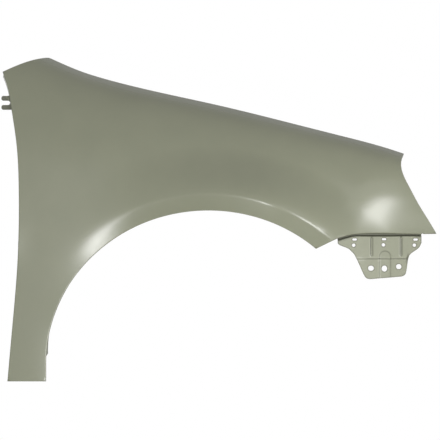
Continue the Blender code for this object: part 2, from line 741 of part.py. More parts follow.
def build_sheet():
    """The folded sheet, and the places on it that holes are set from."""
    sheet = Sheet()
    grid, numbers, corners = add_skin(sheet)
    sill_corner, pillar_corner, bonnet_corner, headlamp_corner, nose_corner = corners
    x = grid[-1, :, 0]
    bend = int(np.argmin(np.abs(x - LOWER_FRONT_EDGE[1][0])))
    plate_end = int(np.argmin(np.abs(x - ARCH_FRONT[0] - PLATE_RIGHT_X)))

    def outer_edge(first, last):
        span = slice(first + 1, last)
        return Edge(sheet, numbers[span, -1], grid[span, -1], grid[span, -2])

    def front_edge(first, last):
        span = slice(first + 1, last)
        return Edge(sheet, numbers[-1, span], grid[-1, span], grid[-2, span])

    arch = Edge(sheet, numbers[1:-1, 0], grid[1:-1, 0], grid[1:-1, 1])
    sill = Edge(sheet, numbers[0, 1:-1], grid[0, 1:-1], grid[1, 1:-1])
    rear = outer_edge(sill_corner, pillar_corner)
    pillar = outer_edge(pillar_corner, bonnet_corner)
    bonnet = outer_edge(bonnet_corner, headlamp_corner)
    headlamp = outer_edge(headlamp_corner, nose_corner)
    band = front_edge(0, bend)
    nose = front_edge(bend, plate_end + 1)
    meetings = [
        Corner(sheet, numbers[0, 0], (arch, 0, True), (sill, 0, True)),
        Corner(sheet, numbers[0, -1], (sill, -1, True), (rear, 0, True)),
        Corner(sheet, numbers[pillar_corner, -1], (rear, -1, True), (pillar, 0, True)),
        Corner(sheet, numbers[bonnet_corner, -1], (pillar, -1, True), (bonnet, 0, True)),
        Corner(sheet, numbers[headlamp_corner, -1], (bonnet, -1, True), (headlamp, 0, True)),
        Corner(sheet, numbers[-1, -1], (headlamp, -1, True), (nose, -1, False)),
        Corner(sheet, numbers[-1, bend], (nose, 0, True), (band, -1, True)),
        Corner(sheet, numbers[-1, 0], (band, 0, True), (arch, -1, True)),
    ]

    lip_numbers, lip_points = arch.fold(LIP_LENGTH)
    height = lip_points[:, 2]
    tab = (height > LINER_TAB_LOW_Z) & (height < LINER_TAB_HIGH_Z) & (lip_points[:, 0] < 0)
    for number in lip_numbers[tab]:
        sheet.points[number] = sheet.points[number] + np.array([LINER_TAB_REACH, 0.0, 0.0])
    _, sill_points = sill.fold(SILL_RETURN)
    rear_numbers, rear_points = rear.fold(REAR_RETURN)
    root = int(np.argmin(np.abs(rear_points[:, 2] - FORK_BOTTOM_Z)))
    fork_depth = add_fork(sheet, rear_numbers[root : root + 2], rear_points[root : root + 2])
    pillar.fold(PILLAR_RETURN)
    rail_inner, rail_outer = fold_rail(bonnet)
    headlamp.fold(HEADLAMP_RETURN)
    band.fold(BAND_END_RETURN)
    plate_ends = add_plate(sheet, nose)
    for meeting in meetings:
        meeting.close()
    places = {
        "lip": (lip_points, arch.rows[-1]),
        "sill": (sill_points + sill.rows[-1]) / 2,
        "plate": plate_ends,
        "rail": (rail_inner, rail_outer),
        "fork": fork_depth,
    }
    return sheet, places


def prism(shape, centre, axis, along, size):
    """Adds a prism to the cutter, with an obround section square to the axis."""
    axis = unit(np.array(axis, float))
    along = unit(np.array(along, float))
    across = np.cross(axis, along)
    radius = min(size) / 2
    reach = np.array(size) / 2 - radius
    rings = []
    for end in (-0.5, 0.5):
        ring = []
        for k in range(HOLE_SIDES):
            turn = 2 * math.pi * (k + 0.5) / HOLE_SIDES
            u = radius * math.cos(turn) + math.copysign(reach[0], math.cos(turn))
            v = radius * math.sin(turn) + math.copysign(reach[1], math.sin(turn))
            ring.append(shape.verts.new(centre + u * along + v * across + end * CUTTER_LENGTH * axis))
        rings.append(ring)
    shape.faces.new(rings[0][::-1])
    shape.faces.new(rings[1])
    for k in range(HOLE_SIDES):
        following = (k + 1) % HOLE_SIDES
        shape.faces.new([rings[0][k], rings[0][following], rings[1][following], rings[1][k]])


def lip_place(places, degrees):
    """Middle of the arch lip at an angle round the arch, and the way out of the wheel's opening there."""
    inner, outer = places["lip"]
    angles = arch_angle(outer[:, 0], outer[:, 2])
    order = np.argsort(angles)
    middle = (inner + outer) / 2
    centre = np.array([np.interp(degrees, angles[order], middle[order, k]) for k in range(3)])
    turn = math.radians(degrees)
    return centre, (math.cos(turn) / ARCH_HALF_LENGTH, 0.0, math.sin(turn) / ARCH_HEIGHT)


def rail_place(places, x):
    """Middle of the bolt rail's upper face."""
    inner, outer = places["rail"]
    middle = (inner + outer) / 2
    return np.array([np.interp(x, middle[:, 0], middle[:, k]) for k in range(3)])


def plate_place(places, x, z):
    """A point in the plane of the bumper flange, measured from the arch's front end."""
    depth = np.interp(x, [PLATE_LEFT_X, PLATE_RIGHT_X], places["plate"])
    return np.array([ARCH_FRONT[0] + x, depth, ARCH_FRONT[1] + z])


def sill_place(places, x):
    """Middle of the sill flange, at a place measured from the rear of the arch."""
    line = places["sill"][::-1]
    return np.array([np.interp(ARCH_REAR[0] + x, line[:, 0], line[:, k]) for k in range(3)])


def cut_holes(shape, places):
    """All the bolt, pilot and liner holes, and the slot of the forked tab."""
    plan = (PLATE_RIGHT_X - PLATE_LEFT_X, places["plate"][1] - places["plate"][0], 0.0)
    out = (plan[1], -plan[0], 0.0)
    holes = [(place, PLATE_SLOT_SIZE) for place in PLATE_SLOTS]
    holes += [(place, PLATE_PILOT_SIZE) for place in PLATE_PILOTS]
    holes += list(zip(PLATE_BOLT_HOLES, PLATE_BOLT_SIZES))
    for (x, z), size in holes:
        prism(shape, plate_place(places, x, z), out, plan, size)
    for pad in RAIL_PADS_X:
        prism(shape, rail_place(places, pad + RAIL_SLOT_AHEAD), (0, 0, 1), (1, 0, 0), RAIL_SLOT)
    for x in SILL_SLOTS_X:
        prism(shape, sill_place(places, x), (0, 0, 1), (1, 0, 0), SILL_SLOT)
    for degrees in LIP_HOLES_DEG:
        centre, outward = lip_place(places, degrees)
        prism(shape, centre, outward, (0, 1, 0), (LIP_HOLE, LIP_HOLE))
    slot_length = 2 * (FORK_SLOT_END_X - FORK_TIP_X)
    slot = np.array([ARCH_REAR[0] + FORK_TIP_X, places["fork"], (FORK_TOP_Z + FORK_BOTTOM_Z) / 2])
    prism(shape, slot, (0, 1, 0), (1, 0, 0), (slot_length, FORK_SLOT_WIDTH))


def make_material():
    """The satin primer."""
    material = bpy.data.materials.new("primer_coat")
    material.use_nodes = True
    shader = material.node_tree.nodes["Principled BSDF"]
    shader.inputs["Base Color"].default_value = PAINT
    shader.inputs["Roughness"].default_value = PAINT_ROUGHNESS
    shader.inputs["Metallic"].default_value = 0.0
    return material


def place_object(name, mesh, origin):
    """Makes the mesh an object, set so that the panel's origin comes to lie in the scene's."""
    placed = bpy.data.objects.new(name, mesh)
    placed.location = [-value for value in origin]
    bpy.context.scene.collection.objects.link(placed)
    return placed


def make_panel(sheet, origin):
    """The sheet as an object, with its normals towards the outside of the car."""
    mesh = bpy.data.meshes.new("fender_panel")
    faces = [list(map(int, face)) for face in sheet.faces]
    mesh.from_pydata([tuple(point) for point in sheet.points], [], faces)
    shape = bmesh.new()
    shape.from_mesh(mesh)
    bmesh.ops.recalc_face_normals(shape, faces=shape.faces)
    shape.faces.ensure_lookup_table()
    if shape.faces[0].normal.y > 0:
        bmesh.ops.reverse_faces(shape, faces=shape.faces)
    shape.to_mesh(mesh)
    shape.free()
    mesh.shade_smooth()
    mesh.set_sharp_from_angle(angle=math.radians(SHARP_DEG))
    mesh.materials.append(make_material())
    return place_object("fender_panel", mesh, origin)


def make_cutter(places, origin):
    """The shape that all the holes are cut with."""
    mesh = bpy.data.meshes.new("hole_cutter")
    shape = bmesh.new()
    cut_holes(shape, places)
    bmesh.ops.recalc_face_normals(shape, faces=shape.faces)
    shape.to_mesh(mesh)
    shape.free()
    cutter = place_object("hole_cutter", mesh, origin)
    cutter.hide_render = True
    cutter.display_type = "WIRE"
    return cutter


def main():
    for old in list(bpy.data.objects):
        bpy.data.objects.remove(old)
    sheet, places = build_sheet()
    origin = rail_place(places, RAIL_PADS_X[ORIGIN_PAD]) - np.array([0.0, 0.0, SHEET])
    panel = make_panel(sheet, origin)
    thickness = panel.modifiers.new("thickness", "SOLIDIFY")
    thickness.thickness = SHEET
    thickness.offset = -1.0
    holes = panel.modifiers.new("holes", "BOOLEAN")
    holes.operation = "DIFFERENCE"
    holes.solver = "EXACT"
    holes.object = make_cutter(places, origin)


main()
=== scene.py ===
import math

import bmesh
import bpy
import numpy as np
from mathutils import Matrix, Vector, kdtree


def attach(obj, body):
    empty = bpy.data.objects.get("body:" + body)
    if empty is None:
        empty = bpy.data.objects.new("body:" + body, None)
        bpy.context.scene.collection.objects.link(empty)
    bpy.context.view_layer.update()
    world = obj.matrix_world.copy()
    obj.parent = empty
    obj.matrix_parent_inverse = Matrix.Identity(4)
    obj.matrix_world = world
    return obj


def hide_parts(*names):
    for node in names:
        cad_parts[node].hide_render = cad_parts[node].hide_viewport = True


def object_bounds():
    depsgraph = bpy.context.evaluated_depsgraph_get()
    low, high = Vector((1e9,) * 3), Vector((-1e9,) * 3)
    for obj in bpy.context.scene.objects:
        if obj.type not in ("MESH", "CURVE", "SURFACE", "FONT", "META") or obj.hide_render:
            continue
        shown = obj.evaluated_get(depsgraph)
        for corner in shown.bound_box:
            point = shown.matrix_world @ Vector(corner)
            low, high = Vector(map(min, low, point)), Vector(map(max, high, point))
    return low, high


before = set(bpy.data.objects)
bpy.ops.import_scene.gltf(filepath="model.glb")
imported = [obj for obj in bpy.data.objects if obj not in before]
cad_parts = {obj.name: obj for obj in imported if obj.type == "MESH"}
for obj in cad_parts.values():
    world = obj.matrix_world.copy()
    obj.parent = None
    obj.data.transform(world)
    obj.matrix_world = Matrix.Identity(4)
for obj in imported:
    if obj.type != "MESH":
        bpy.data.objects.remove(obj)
cad_low, cad_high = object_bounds()

# The looks of the fender. Its sheet is folded here by the rules of the solid in the frame, on a much
# finer mesh, with sharper bends, a tapered liner tab and a lower channel over the bumper flange. +X is
# the front of the car, +Y goes inboard and +Z is up, in metres. Places in the XZ plane are measured
# from the wheel's axle, and depths from the widest part of the body side.

# Sheet
SHEET = 0.00075
BEND_RADIUS = 0.0016
BEND_STEPS = 4
CORNER_RELIEF = 0.006
FIRM_GAP = 0.0008
SHARP_DEG = 30.0
CUT_EDGE_DEG = 60.0

# Wheel arch: a straight rear leg that runs into half an ellipse, with a flared band round it
ARCH_HALF_LENGTH = 0.348
ARCH_HEIGHT = 0.327
ARCH_CENTRE_Z = 0.021
ARCH_END_DEG = 48.4
BAND_WIDTH = 0.035
BAND_SLOPE = 0.328
SWELL_DEPTH = 0.035
SWELL_REACH = 0.105
SWELL_TOP_DEG = 74.5
SWELL_SPREAD_DEG = 30.4
CREASE_RADIUS = 0.0021
FADED_CREASE_RADIUS = 0.042
FADE_FROM_DEG = 103.0
FADE_TO_DEG = 157.0
LEG_EDGE_SLOPE = 0.033
LEG_EDGE_WIDTH = 0.036
LEG_EDGE_FROM_DEG = 159.2
LEG_EDGE_TO_DEG = 173.2

# Outlines as (x, z), each through the points that its curve needs. The rear ones are measured from the
# rear of the wheel arch, and the nose's from the arch's front end.
SILL_Z = -0.018
REAR_POINTS = [
    (-0.083, SILL_Z),
    (-0.0745, 0.077),
    (-0.0655, 0.177),
    (-0.059, 0.285),
    (-0.0585, 0.392),
    (-0.0635, 0.489),
    (-0.0745, 0.564),
    (-0.0845, 0.616),
    (-0.0955, 0.648),
]
PILLAR_POINTS = [(-0.049, 0.669), (-0.024, 0.677), (0.001, 0.682)]
TOP_POINTS = [
    (-0.2825, 0.654),
    (-0.2165, 0.633),
    (-0.1155, 0.608),
    (0.0205, 0.578),
    (0.1555, 0.545),
    (0.29, 0.511),
    (0.3915, 0.4835),
    (0.425, 0.4725),
]
HEADLAMP_BOWS = [(0.062, 0.0127), (0.177, 0.0204), (0.366, 0.0190), (0.598, 0.0139), (0.827, 0.0058)]
NOSE_POINTS = [(0.264, 0.0325), (0.229, 0.032), (0.16, 0.0335), (0.1065, 0.0335), (0.078, 0.0315)]
BAND_END = (0.045, 0.022)

# Depth of the skin
SHOULDER_TIGHT = 0.0299
SHOULDER_TIGHT_REACH = 0.0107
SHOULDER_SOFT = 0.0616
SHOULDER_SOFT_REACH = 0.0701
LEAN_FROM_Z = 0.298
LEAN_RADIUS = 2.35
SIDE_LEAN = 0.0148
SIDE_LEAN_FROM_Z = 0.440
SIDE_LEAN_RADIUS = 0.0927
NOSE_TUCK = 0.0311
NOSE_TUCK_Z = 0.4135
NOSE_TUCK_REACH = 0.122
NOSE_TUCK_FROM_X = 0.111
NOSE_TUCK_TO_X = 0.322
WRAP_FROM_X = 0.2396
WRAP_LENGTH = 0.3175
WRAP_DEPTH = 0.0874
WRAP_POWER = 1.6
WRAP_LEAN = 0.8325
WRAP_LEVEL_Z = 0.30
REAR_SWELL_SLOPE = 0.101
REAR_SWELL_FROM_X = -0.077
REAR_SWELL_Z = 0.2915
REAR_SWELL_SPREAD = 0.0533
REAR_SWELL_WIDTH = 0.0602

# Mesh of the skin: rows at distances from the arch edge and from the outer edge, with the steps between
CURVE_SAMPLES = 2000
LEAST_RATIO = 0.1
ROUNDING = 1e-6
SLOPE_STEP = 0.0002
COLUMN_GAP = 0.0075
ARCH_ROWS = [(CORNER_RELIEF, 0.030, 0.004), (0.030, 0.040, 0.00125), (0.040, 0.092, 0.0045)]
OUTER_ROWS = [(CORNER_RELIEF, 0.045, 0.003), (0.045, 0.075, 0.005)]
MIDDLE_ROWS = 22
ROW_SHARE = 0.85
PILLAR_COLUMN_DEG = 112.0
FRONT_BLEND = 0.25
SKEW_LIMIT = 0.5
SOFTENINGS = 60

# Returns
LIP_LENGTH = 0.017
REAR_RETURN = 0.013
PILLAR_RETURN = 0.010
HEADLAMP_RETURN = 0.012
BAND_END_RETURN = 0.010
SILL_RETURN = 0.025

# Bolt rail along the bonnet edge
RAIL_DROP = 0.022
RAIL_WIDTH = 0.0208
RAIL_WALL_LEAN = 0.30
RAIL_PADS_X = [-0.285, -0.080, 0.130, 0.335]
RAIL_PAD_LENGTH = 0.044
RAIL_SLOT = (0.012, 0.008)
RAIL_SLOT_AHEAD = 0.013

# Forked fixing tab behind the rear edge
FORK_TOP_Z = 0.5955
FORK_BOTTOM_Z = 0.5655
FORK_TIP_X = -0.098
FORK_SLOT_END_X = -0.0795
FORK_SLOT_WIDTH = 0.0092
FORK_TIP_RADIUS = 0.0042
FORK_TIP_STEPS = 8

# Bumper flange under the nose, measured from the arch's front end
PLATE_LEFT_X = 0.047
PLATE_RIGHT_X = 0.2305
PLATE_TOP_Z = 0.0285
PLATE_SETBACK = 0.006
CHANNEL_DEPTH = 0.009
CHANNEL_HEIGHT = 0.0042
CHANNEL_CORNER = 0.35
PLATE_FOOT = [
    (PLATE_LEFT_X, 0.013),
    (0.05, 0.009),
    (0.071, 0.0007),
    (0.083, -0.011),
    (0.0945, -0.0342),
    (0.1045, -0.057),
    (0.109, -0.063),
    (0.1165, -0.0652),
    (0.187, -0.0598),
    (0.1945, -0.0565),
    (0.198, -0.0485),
    (0.2, -0.0255),
    (0.202, -0.016),
    (0.2078, -0.0095),
    (0.223, 0.0005),
    (0.229, 0.008),
    (PLATE_RIGHT_X, 0.016),
]
BEADS_X = [0.121, 0.1855]
BEAD_WIDTH = 0.008
BEAD_HEIGHT = 0.0018
BEAD_END_Z = -0.017
JOGGLE_Z = -0.0213
JOGGLE_REACH = 0.004
JOGGLE_DEPTH = 0.0015
PAD_CENTRE_X = 0.15
PAD_WIDTH = 0.0277
PAD_TOP_Z = -0.003
PAD_HEIGHT = 0.0012
PAD_STEP = 0.003
PLATE_SLOTS = [(0.0837, 0.0206), (0.1482, 0.0211), (0.2175, 0.0202)]
PLATE_SLOT_SIZE = (0.0105, 0.0045)
PLATE_PILOTS = [(0.0818, 0.0083), (0.1467, 0.0089), (0.2148, 0.0081)]
PLATE_PILOT_SIZE = (0.0082, 0.0070)
PLATE_BOLT_HOLES = [(0.12, -0.0414), (0.149, -0.0423), (0.181, -0.0382)]
PLATE_BOLT_SIZES = [(0.0133, 0.0106), (0.0130, 0.0130), (0.0127, 0.0106)]
PLATE_COLUMNS = 124
PLATE_ROWS = 64
PLATE_ROUNDING = 0.002
PLATE_ROUNDING_STEPS = 9
BEAD_RUN_OUT = 0.004
FLANGE_MARGIN = 0.001
CHANNEL_TOP_Z = 0.036
FLANGE_NORMAL = (0.305, -0.952, 0.0)

# Holes in the arch lip and the sill flange, and the tab that the liner is clipped to
LIP_HOLES_DEG = [160.0, 138.0, 113.0, 86.0, 62.0]
LIP_HOLE = 0.006
SILL_SLOTS_X = [-0.06, -0.026]
SILL_SLOT = (0.012, 0.007)
LINER_TAB_LOW_Z = 0.040
LINER_TAB_HIGH_Z = 0.082
LINER_TAB_REACH = 0.0035

HOLE_SIDES = 24
CUTTER_LENGTH = 0.012

# Primer: its own tones, with painted light on the bumper flange, painted shade in its creases, in the
# channel over it and on turned faces, and thin coat with painted shade at cut edges
PAINT = (0.242, 0.252, 0.176, 1.0)
PAINT_DARK = (0.230, 0.240, 0.168, 1.0)
PAINT_THIN_COAT_AND_SHADE = (0.150, 0.154, 0.110, 1.0)
PAINT_TURNED_SHADE = (0.165, 0.170, 0.122, 1.0)
PAINT_FLANGE_LIGHT = (0.292, 0.302, 0.222, 1.0)
PAINT_CREASE_SHADE = (0.130, 0.134, 0.098, 1.0)
PAINT_CHANNEL_SHADE = (0.170, 0.174, 0.128, 1.0)
EDGE_DARK_REACH = 0.003
TURNED_NORMAL_Y = (-0.55, -0.10)
FLANGE_FLATNESS = (0.90, 0.995)
ROUGHNESS_RANGE = (0.210, 0.250)
DULL_ROUGHNESS = 0.34
MOTTLE = {"per_metre": 14.0, "detail": 4.0}
MOTTLE_RANGE = (0.3, 0.7)
GRAIN = {"per_metre": 1400.0, "detail": 2.0}
PEEL = {"per_metre": 260.0, "detail": 1.5}
PEEL_DEPTH = 0.00002
GRAIN_DEPTH = 0.000006

# Camera: square to the body side, level, and far enough away for little perspective
ORIGIN = (-0.080, 0.127138, 0.577368)
CAMERA_AIM = (0.0249, 0.030, 0.3281)
CAMERA_DISTANCE = 8.0
HALF_VIEW = 0.473
SENSOR = 36.0

# Light: each lamp has its name, place, width and height, and power in watts
FLOOR_Z = -0.68
FLOOR_RADIUS = 3.0
FLOOR_SIDES = 96
FLOOR_COLOUR = (0.86, 0.86, 0.86, 1.0)
FLOOR_ROUGHNESS = 0.9
LAMP_TARGET = (0.02, 0.0, 0.32)
LAMPS = [
    ("key", (1.177, -1.430, -0.156), (0.409, 0.620), 11.9),
    ("side", (1.546, -1.042, -0.340), (0.664, 0.221), 1.0),
    ("second", (0.177, -2.855, -0.327), (0.382, 0.620), 23.4),
    ("fill", (1.277, -4.000, 0.734), (3.99, 1.34), 16.6),
    ("back", (-1.200, 3.200, 0.900), (2.60, 1.60), 34.0),
]
WORLD_FILL = 0.35


def cubic(knots, values):
    """A smooth curve through the values, straight beyond its ends, as a function of the knots' variable."""
    knots = np.array(knots)
    values = np.array(values).reshape(len(knots), -1)
    gaps = np.diff(knots)[:, None]
    slopes = np.diff(values, axis=0) / gaps
    system = np.eye(len(knots))
    bends = np.zeros_like(values)
    for i in range(1, len(knots) - 1):
        before, after = gaps[i - 1, 0], gaps[i, 0]
        system[i, i - 1 : i + 2] = before, 2 * (before + after), after
        bends[i] = 6 * (slopes[i] - slopes[i - 1])
    bends = np.linalg.solve(system, bends)
    first_slope = slopes[0] - gaps[0] * (2 * bends[0] + bends[1]) / 6
    last_slope = slopes[-1] + gaps[-1] * (bends[-2] + 2 * bends[-1]) / 6

    def place(at):
        at = np.atleast_1d(np.asarray(at, float))
        inside = np.clip(at, knots[0], knots[-1])
        i = np.clip(np.searchsorted(knots, inside) - 1, 0, len(gaps) - 1)
        far = ((knots[i + 1] - inside) / gaps[i, 0])[:, None]
        near = 1 - far
        curved = (far**3 - far) * bends[i] + (near**3 - near) * bends[i + 1]
        beyond = np.where(at < inside, 1.0, 0.0)[:, None] * first_slope
        beyond = beyond + np.where(at > inside, 1.0, 0.0)[:, None] * last_slope
        found = far * values[i] + near * values[i + 1] + curved * gaps[i] ** 2 / 6
        return found + (at - inside)[:, None] * beyond

    return place


def curve_through(points):
    """The length of a smooth curve through the points, and its place at any lengths along it."""
    steps = np.linalg.norm(np.diff(np.array(points), axis=0), axis=1)
    knots = np.concatenate([[0.0], np.cumsum(steps)])
    return knots[-1], cubic(knots, points)


def shifted(points, start):
    """The points, measured from a start."""
    return [(start[0] + x, start[1] + z) for x, z in points]


def bowed(first, last, bows):
    """Points from first to last, at shares of the way, set off to the right of the straight line."""
    along = (last[0] - first[0], last[1] - first[1])
    length = math.hypot(*along)
    points = [first]
    for share, bow in bows:
        x = first[0] + share * along[0] + bow * along[1] / length
        points.append((x, first[1] + share * along[1] - bow * along[0] / length))
    return [*points, last]


ARCH_REAR = (-ARCH_HALF_LENGTH, 0.0)
ARCH_FRONT = (
    ARCH_HALF_LENGTH * math.cos(math.radians(ARCH_END_DEG)),
    ARCH_CENTRE_Z + ARCH_HEIGHT * math.sin(math.radians(ARCH_END_DEG)),
)
REAR_EDGE = shifted(REAR_POINTS, ARCH_REAR)
PILLAR_EDGE = [REAR_EDGE[-1], *shifted(PILLAR_POINTS, ARCH_REAR)]
TOP_EDGE = [PILLAR_EDGE[-1], *TOP_POINTS]
LOWER_FRONT_EDGE = shifted([(0.0, 0.0), BAND_END, *NOSE_POINTS[::-1]], ARCH_FRONT)
HEADLAMP_EDGE = bowed(TOP_EDGE[-1], LOWER_FRONT_EDGE[-1], HEADLAMP_BOWS)
TOP_LINE = cubic([x for x, _ in TOP_EDGE], [z for _, z in TOP_EDGE])


def top_line(x):
    """Height of the bonnet edge, carried on past its ends."""
    return TOP_LINE(np.ravel(x))[:, 0].reshape(np.shape(x))


def smooth_step(value, low, high):
    """Zero below the low value, one above the high one, and smooth between them."""
    part = np.clip((value - low) / (high - low), 0.0, 1.0)
    return part * part * (3 - 2 * part)


def soft_ramp(value, radius):
    """Zero below zero and the value above it, rounded over about the radius."""
    return (value + np.sqrt(value * value + radius * radius)) / 2


def arch_distance(x, z):
    """How far a point is outside the edge of the wheel arch."""
    height = z - ARCH_CENTRE_Z
    ratio = np.hypot(x / ARCH_HALF_LENGTH, height / ARCH_HEIGHT)
    round_part = np.hypot(x, height) * (1 - 1 / np.maximum(ratio, LEAST_RATIO))
    return np.where(height < 0, -x - ARCH_HALF_LENGTH, round_part)


def arch_angle(x, z):
    """Angle round the arch in degrees: 0 at the front, 90 at the top and 180 on the rear leg."""
    height = np.maximum(z - ARCH_CENTRE_Z, 0.0)
    return np.degrees(np.arctan2(height / ARCH_HEIGHT, x / ARCH_HALF_LENGTH))


def flare_depth(x, z):
    """The band round the arch and the swelling over its crease, which fade out down the rear leg."""
    edge = arch_distance(x, z)
    degrees = arch_angle(x, z)
    fade = smooth_step(degrees, FADE_FROM_DEG, FADE_TO_DEG)
    radius = CREASE_RADIUS + (FADED_CREASE_RADIUS - CREASE_RADIUS) * fade
    band = BAND_SLOPE * soft_ramp(BAND_WIDTH - edge, radius)
    beyond = soft_ramp(edge - BAND_WIDTH, radius)
    swell = SWELL_DEPTH * np.exp(-(((degrees - SWELL_TOP_DEG) / SWELL_SPREAD_DEG) ** 2))
    flared = band - swell * (1 - smooth_step(beyond, 0.0, SWELL_REACH))
    near_edge = np.maximum(0.0, 1 - edge / LEG_EDGE_WIDTH)
    plain = LEG_EDGE_SLOPE * LEG_EDGE_WIDTH * near_edge**2 / 2
    return (1 - fade) * flared + plain * smooth_step(degrees, LEG_EDGE_FROM_DEG, LEG_EDGE_TO_DEG)


def shoulder_depth(x, z):
    """The turn of the skin in towards the bonnet edge."""
    below = np.maximum(top_line(x) - z, 0.0)
    tight = SHOULDER_TIGHT * np.exp(-below / SHOULDER_TIGHT_REACH)
    soft = SHOULDER_SOFT * np.exp(-below / SHOULDER_SOFT_REACH)
    lean = np.maximum(z - LEAN_FROM_Z, 0.0) ** 2 / (2 * LEAN_RADIUS)
    return tight + soft + lean


def tuck_depth(x, z):
    """The body side's lean in towards the sill, and the nose's turn in towards the bumper."""
    side = SIDE_LEAN * soft_ramp(SIDE_LEAN_FROM_Z - z, SIDE_LEAN_RADIUS)
    share = smooth_step(x, NOSE_TUCK_FROM_X, NOSE_TUCK_TO_X)
    return side + NOSE_TUCK * share * (1 - np.tanh((z - NOSE_TUCK_Z) / NOSE_TUCK_REACH)) / 2


def wrap_depth(x, z):
    """The turn of the nose in towards the front of the car, which starts further back lower down."""
    ahead = x - WRAP_LEAN * (z - WRAP_LEVEL_Z) - WRAP_FROM_X
    return WRAP_DEPTH * (np.maximum(ahead, 0.0) / WRAP_LENGTH) ** WRAP_POWER


def rear_swell_depth(x, z):
    """The slight rise of the skin out to the door's edge."""
    ahead = x - ARCH_REAR[0] - REAR_SWELL_FROM_X
    near_edge = np.maximum(0.0, 1 - ahead / REAR_SWELL_WIDTH)
    rise = REAR_SWELL_SLOPE * REAR_SWELL_WIDTH * near_edge**2 / 2
    return -rise * np.exp(-(((z - REAR_SWELL_Z) / REAR_SWELL_SPREAD) ** 2))


def skin_depth(x, z):
    """Depth of the skin at a point of the XZ plane."""
    local = flare_depth(x, z) + rear_swell_depth(x, z)
    overall = shoulder_depth(x, z) + tuck_depth(x, z) + wrap_depth(x, z)
    return local + overall


def skin_slopes(x, z):
    """How fast the depth grows along x and along z."""
    along_x = (skin_depth(x + SLOPE_STEP, z) - skin_depth(x - SLOPE_STEP, z)) / (2 * SLOPE_STEP)
    along_z = (skin_depth(x, z + SLOPE_STEP) - skin_depth(x, z - SLOPE_STEP)) / (2 * SLOPE_STEP)
    return along_x, along_z


def filled(stations, largest_gap):
    """The stations, with even steps between them wherever a gap is too large."""
    stations = sorted(stations)
    places = [stations[0]]
    for low, high in zip(stations, stations[1:]):
        steps = max(1, math.ceil((high - low) / largest_gap - ROUNDING))
        places.extend(low + (high - low) * k / steps for k in range(1, steps + 1))
    return np.array(places)


def spread(bands):
    """Evenly stepped distances through bands given as a start, an end and a step."""
    places = [bands[0][0]]
    for low, high, step in bands:
        places.extend(filled([low, high], step)[1:])
    return np.array(places)


def length_where(curve, length, axis, values):
    """Lengths along a curve at which a coordinate has the given values."""
    lengths = np.linspace(0, length, CURVE_SAMPLES)
    coordinate = curve(lengths)[:, axis]
    order = np.argsort(coordinate)
    return list(np.interp(values, coordinate[order], lengths[order]))


def outer_columns():
    """Points round the outer edge from the sill to the nose, and the index of each corner among them."""
    rail_ends = [x + side * RAIL_PAD_LENGTH / 2 for x in RAIL_PADS_X for side in (-1, 1)]
    wanted = [(1, [FORK_BOTTOM_Z, FORK_TOP_Z]), (0, []), (0, rail_ends), (0, [])]
    points, corners, lengths = [], [0], []
    start = 0.0
    for edge, (axis, values) in zip((REAR_EDGE, PILLAR_EDGE, TOP_EDGE, HEADLAMP_EDGE), wanted):
        length, curve = curve_through(edge)
        stations = [0.0, CORNER_RELIEF, length - CORNER_RELIEF, length]
        stations += length_where(curve, length, axis, values)
        places = filled(stations, COLUMN_GAP)
        skip = 1 if points else 0
        points.extend(curve(places[skip:]))
        lengths.extend(start + places[skip:])
        corners.append(len(points) - 1)
        start += length
    return np.array(points), np.array(lengths), corners


def arch_columns(outer_lengths, pillar_length):
    """Points along the arch edge from the sill to its front end, one for each outer point."""
    angles = np.radians(np.linspace(180.0, ARCH_END_DEG, CURVE_SAMPLES))
    x = np.concatenate([[-ARCH_HALF_LENGTH], ARCH_HALF_LENGTH * np.cos(angles)])
    z = np.concatenate([[SILL_Z], ARCH_CENTRE_Z + ARCH_HEIGHT * np.sin(angles)])
    along = np.concatenate([[0.0], np.cumsum(np.hypot(np.diff(x), np.diff(z)))])
    corner = np.interp(-PILLAR_COLUMN_DEG, np.degrees(-angles), along[1:])
    last = outer_lengths[-1]
    ends = [0.0, CORNER_RELIEF, pillar_length, last - CORNER_RELIEF, last]
    arch_ends = [0.0, CORNER_RELIEF, corner, along[-1] - CORNER_RELIEF, along[-1]]
    places = np.interp(outer_lengths, ends, arch_ends)
    return np.stack([np.interp(places, along, x), np.interp(places, along, z)], axis=1), places


def lower_front_line(parts):
    """Points from the front end of the arch to the corner of the nose, at the given shares of the way."""
    nose_length, nose = curve_through(LOWER_FRONT_EDGE[2:])
    curve = nose(np.linspace(0, nose_length, CURVE_SAMPLES))
    points = np.concatenate([LOWER_FRONT_EDGE[:2], curve])
    share = (points[:, 0] - points[0, 0]) / (points[-1, 0] - points[0, 0])
    x = np.interp(parts, share, points[:, 0])
    return np.stack([x, np.interp(parts, share, points[:, 1])], axis=1)


def rows_scaled(rows, scale):
    """The rows' distances from their edge, drawn together behind the relief where the skin is narrow."""
    return CORNER_RELIEF + (rows - CORNER_RELIEF) * scale


def softened(values):
    """The values, each blended a few times with its neighbours."""
    for _ in range(SOFTENINGS):
        around = np.pad(values, 1, mode="edge")
        values = (around[:-2] + 2 * values + around[2:]) / 4
    return values


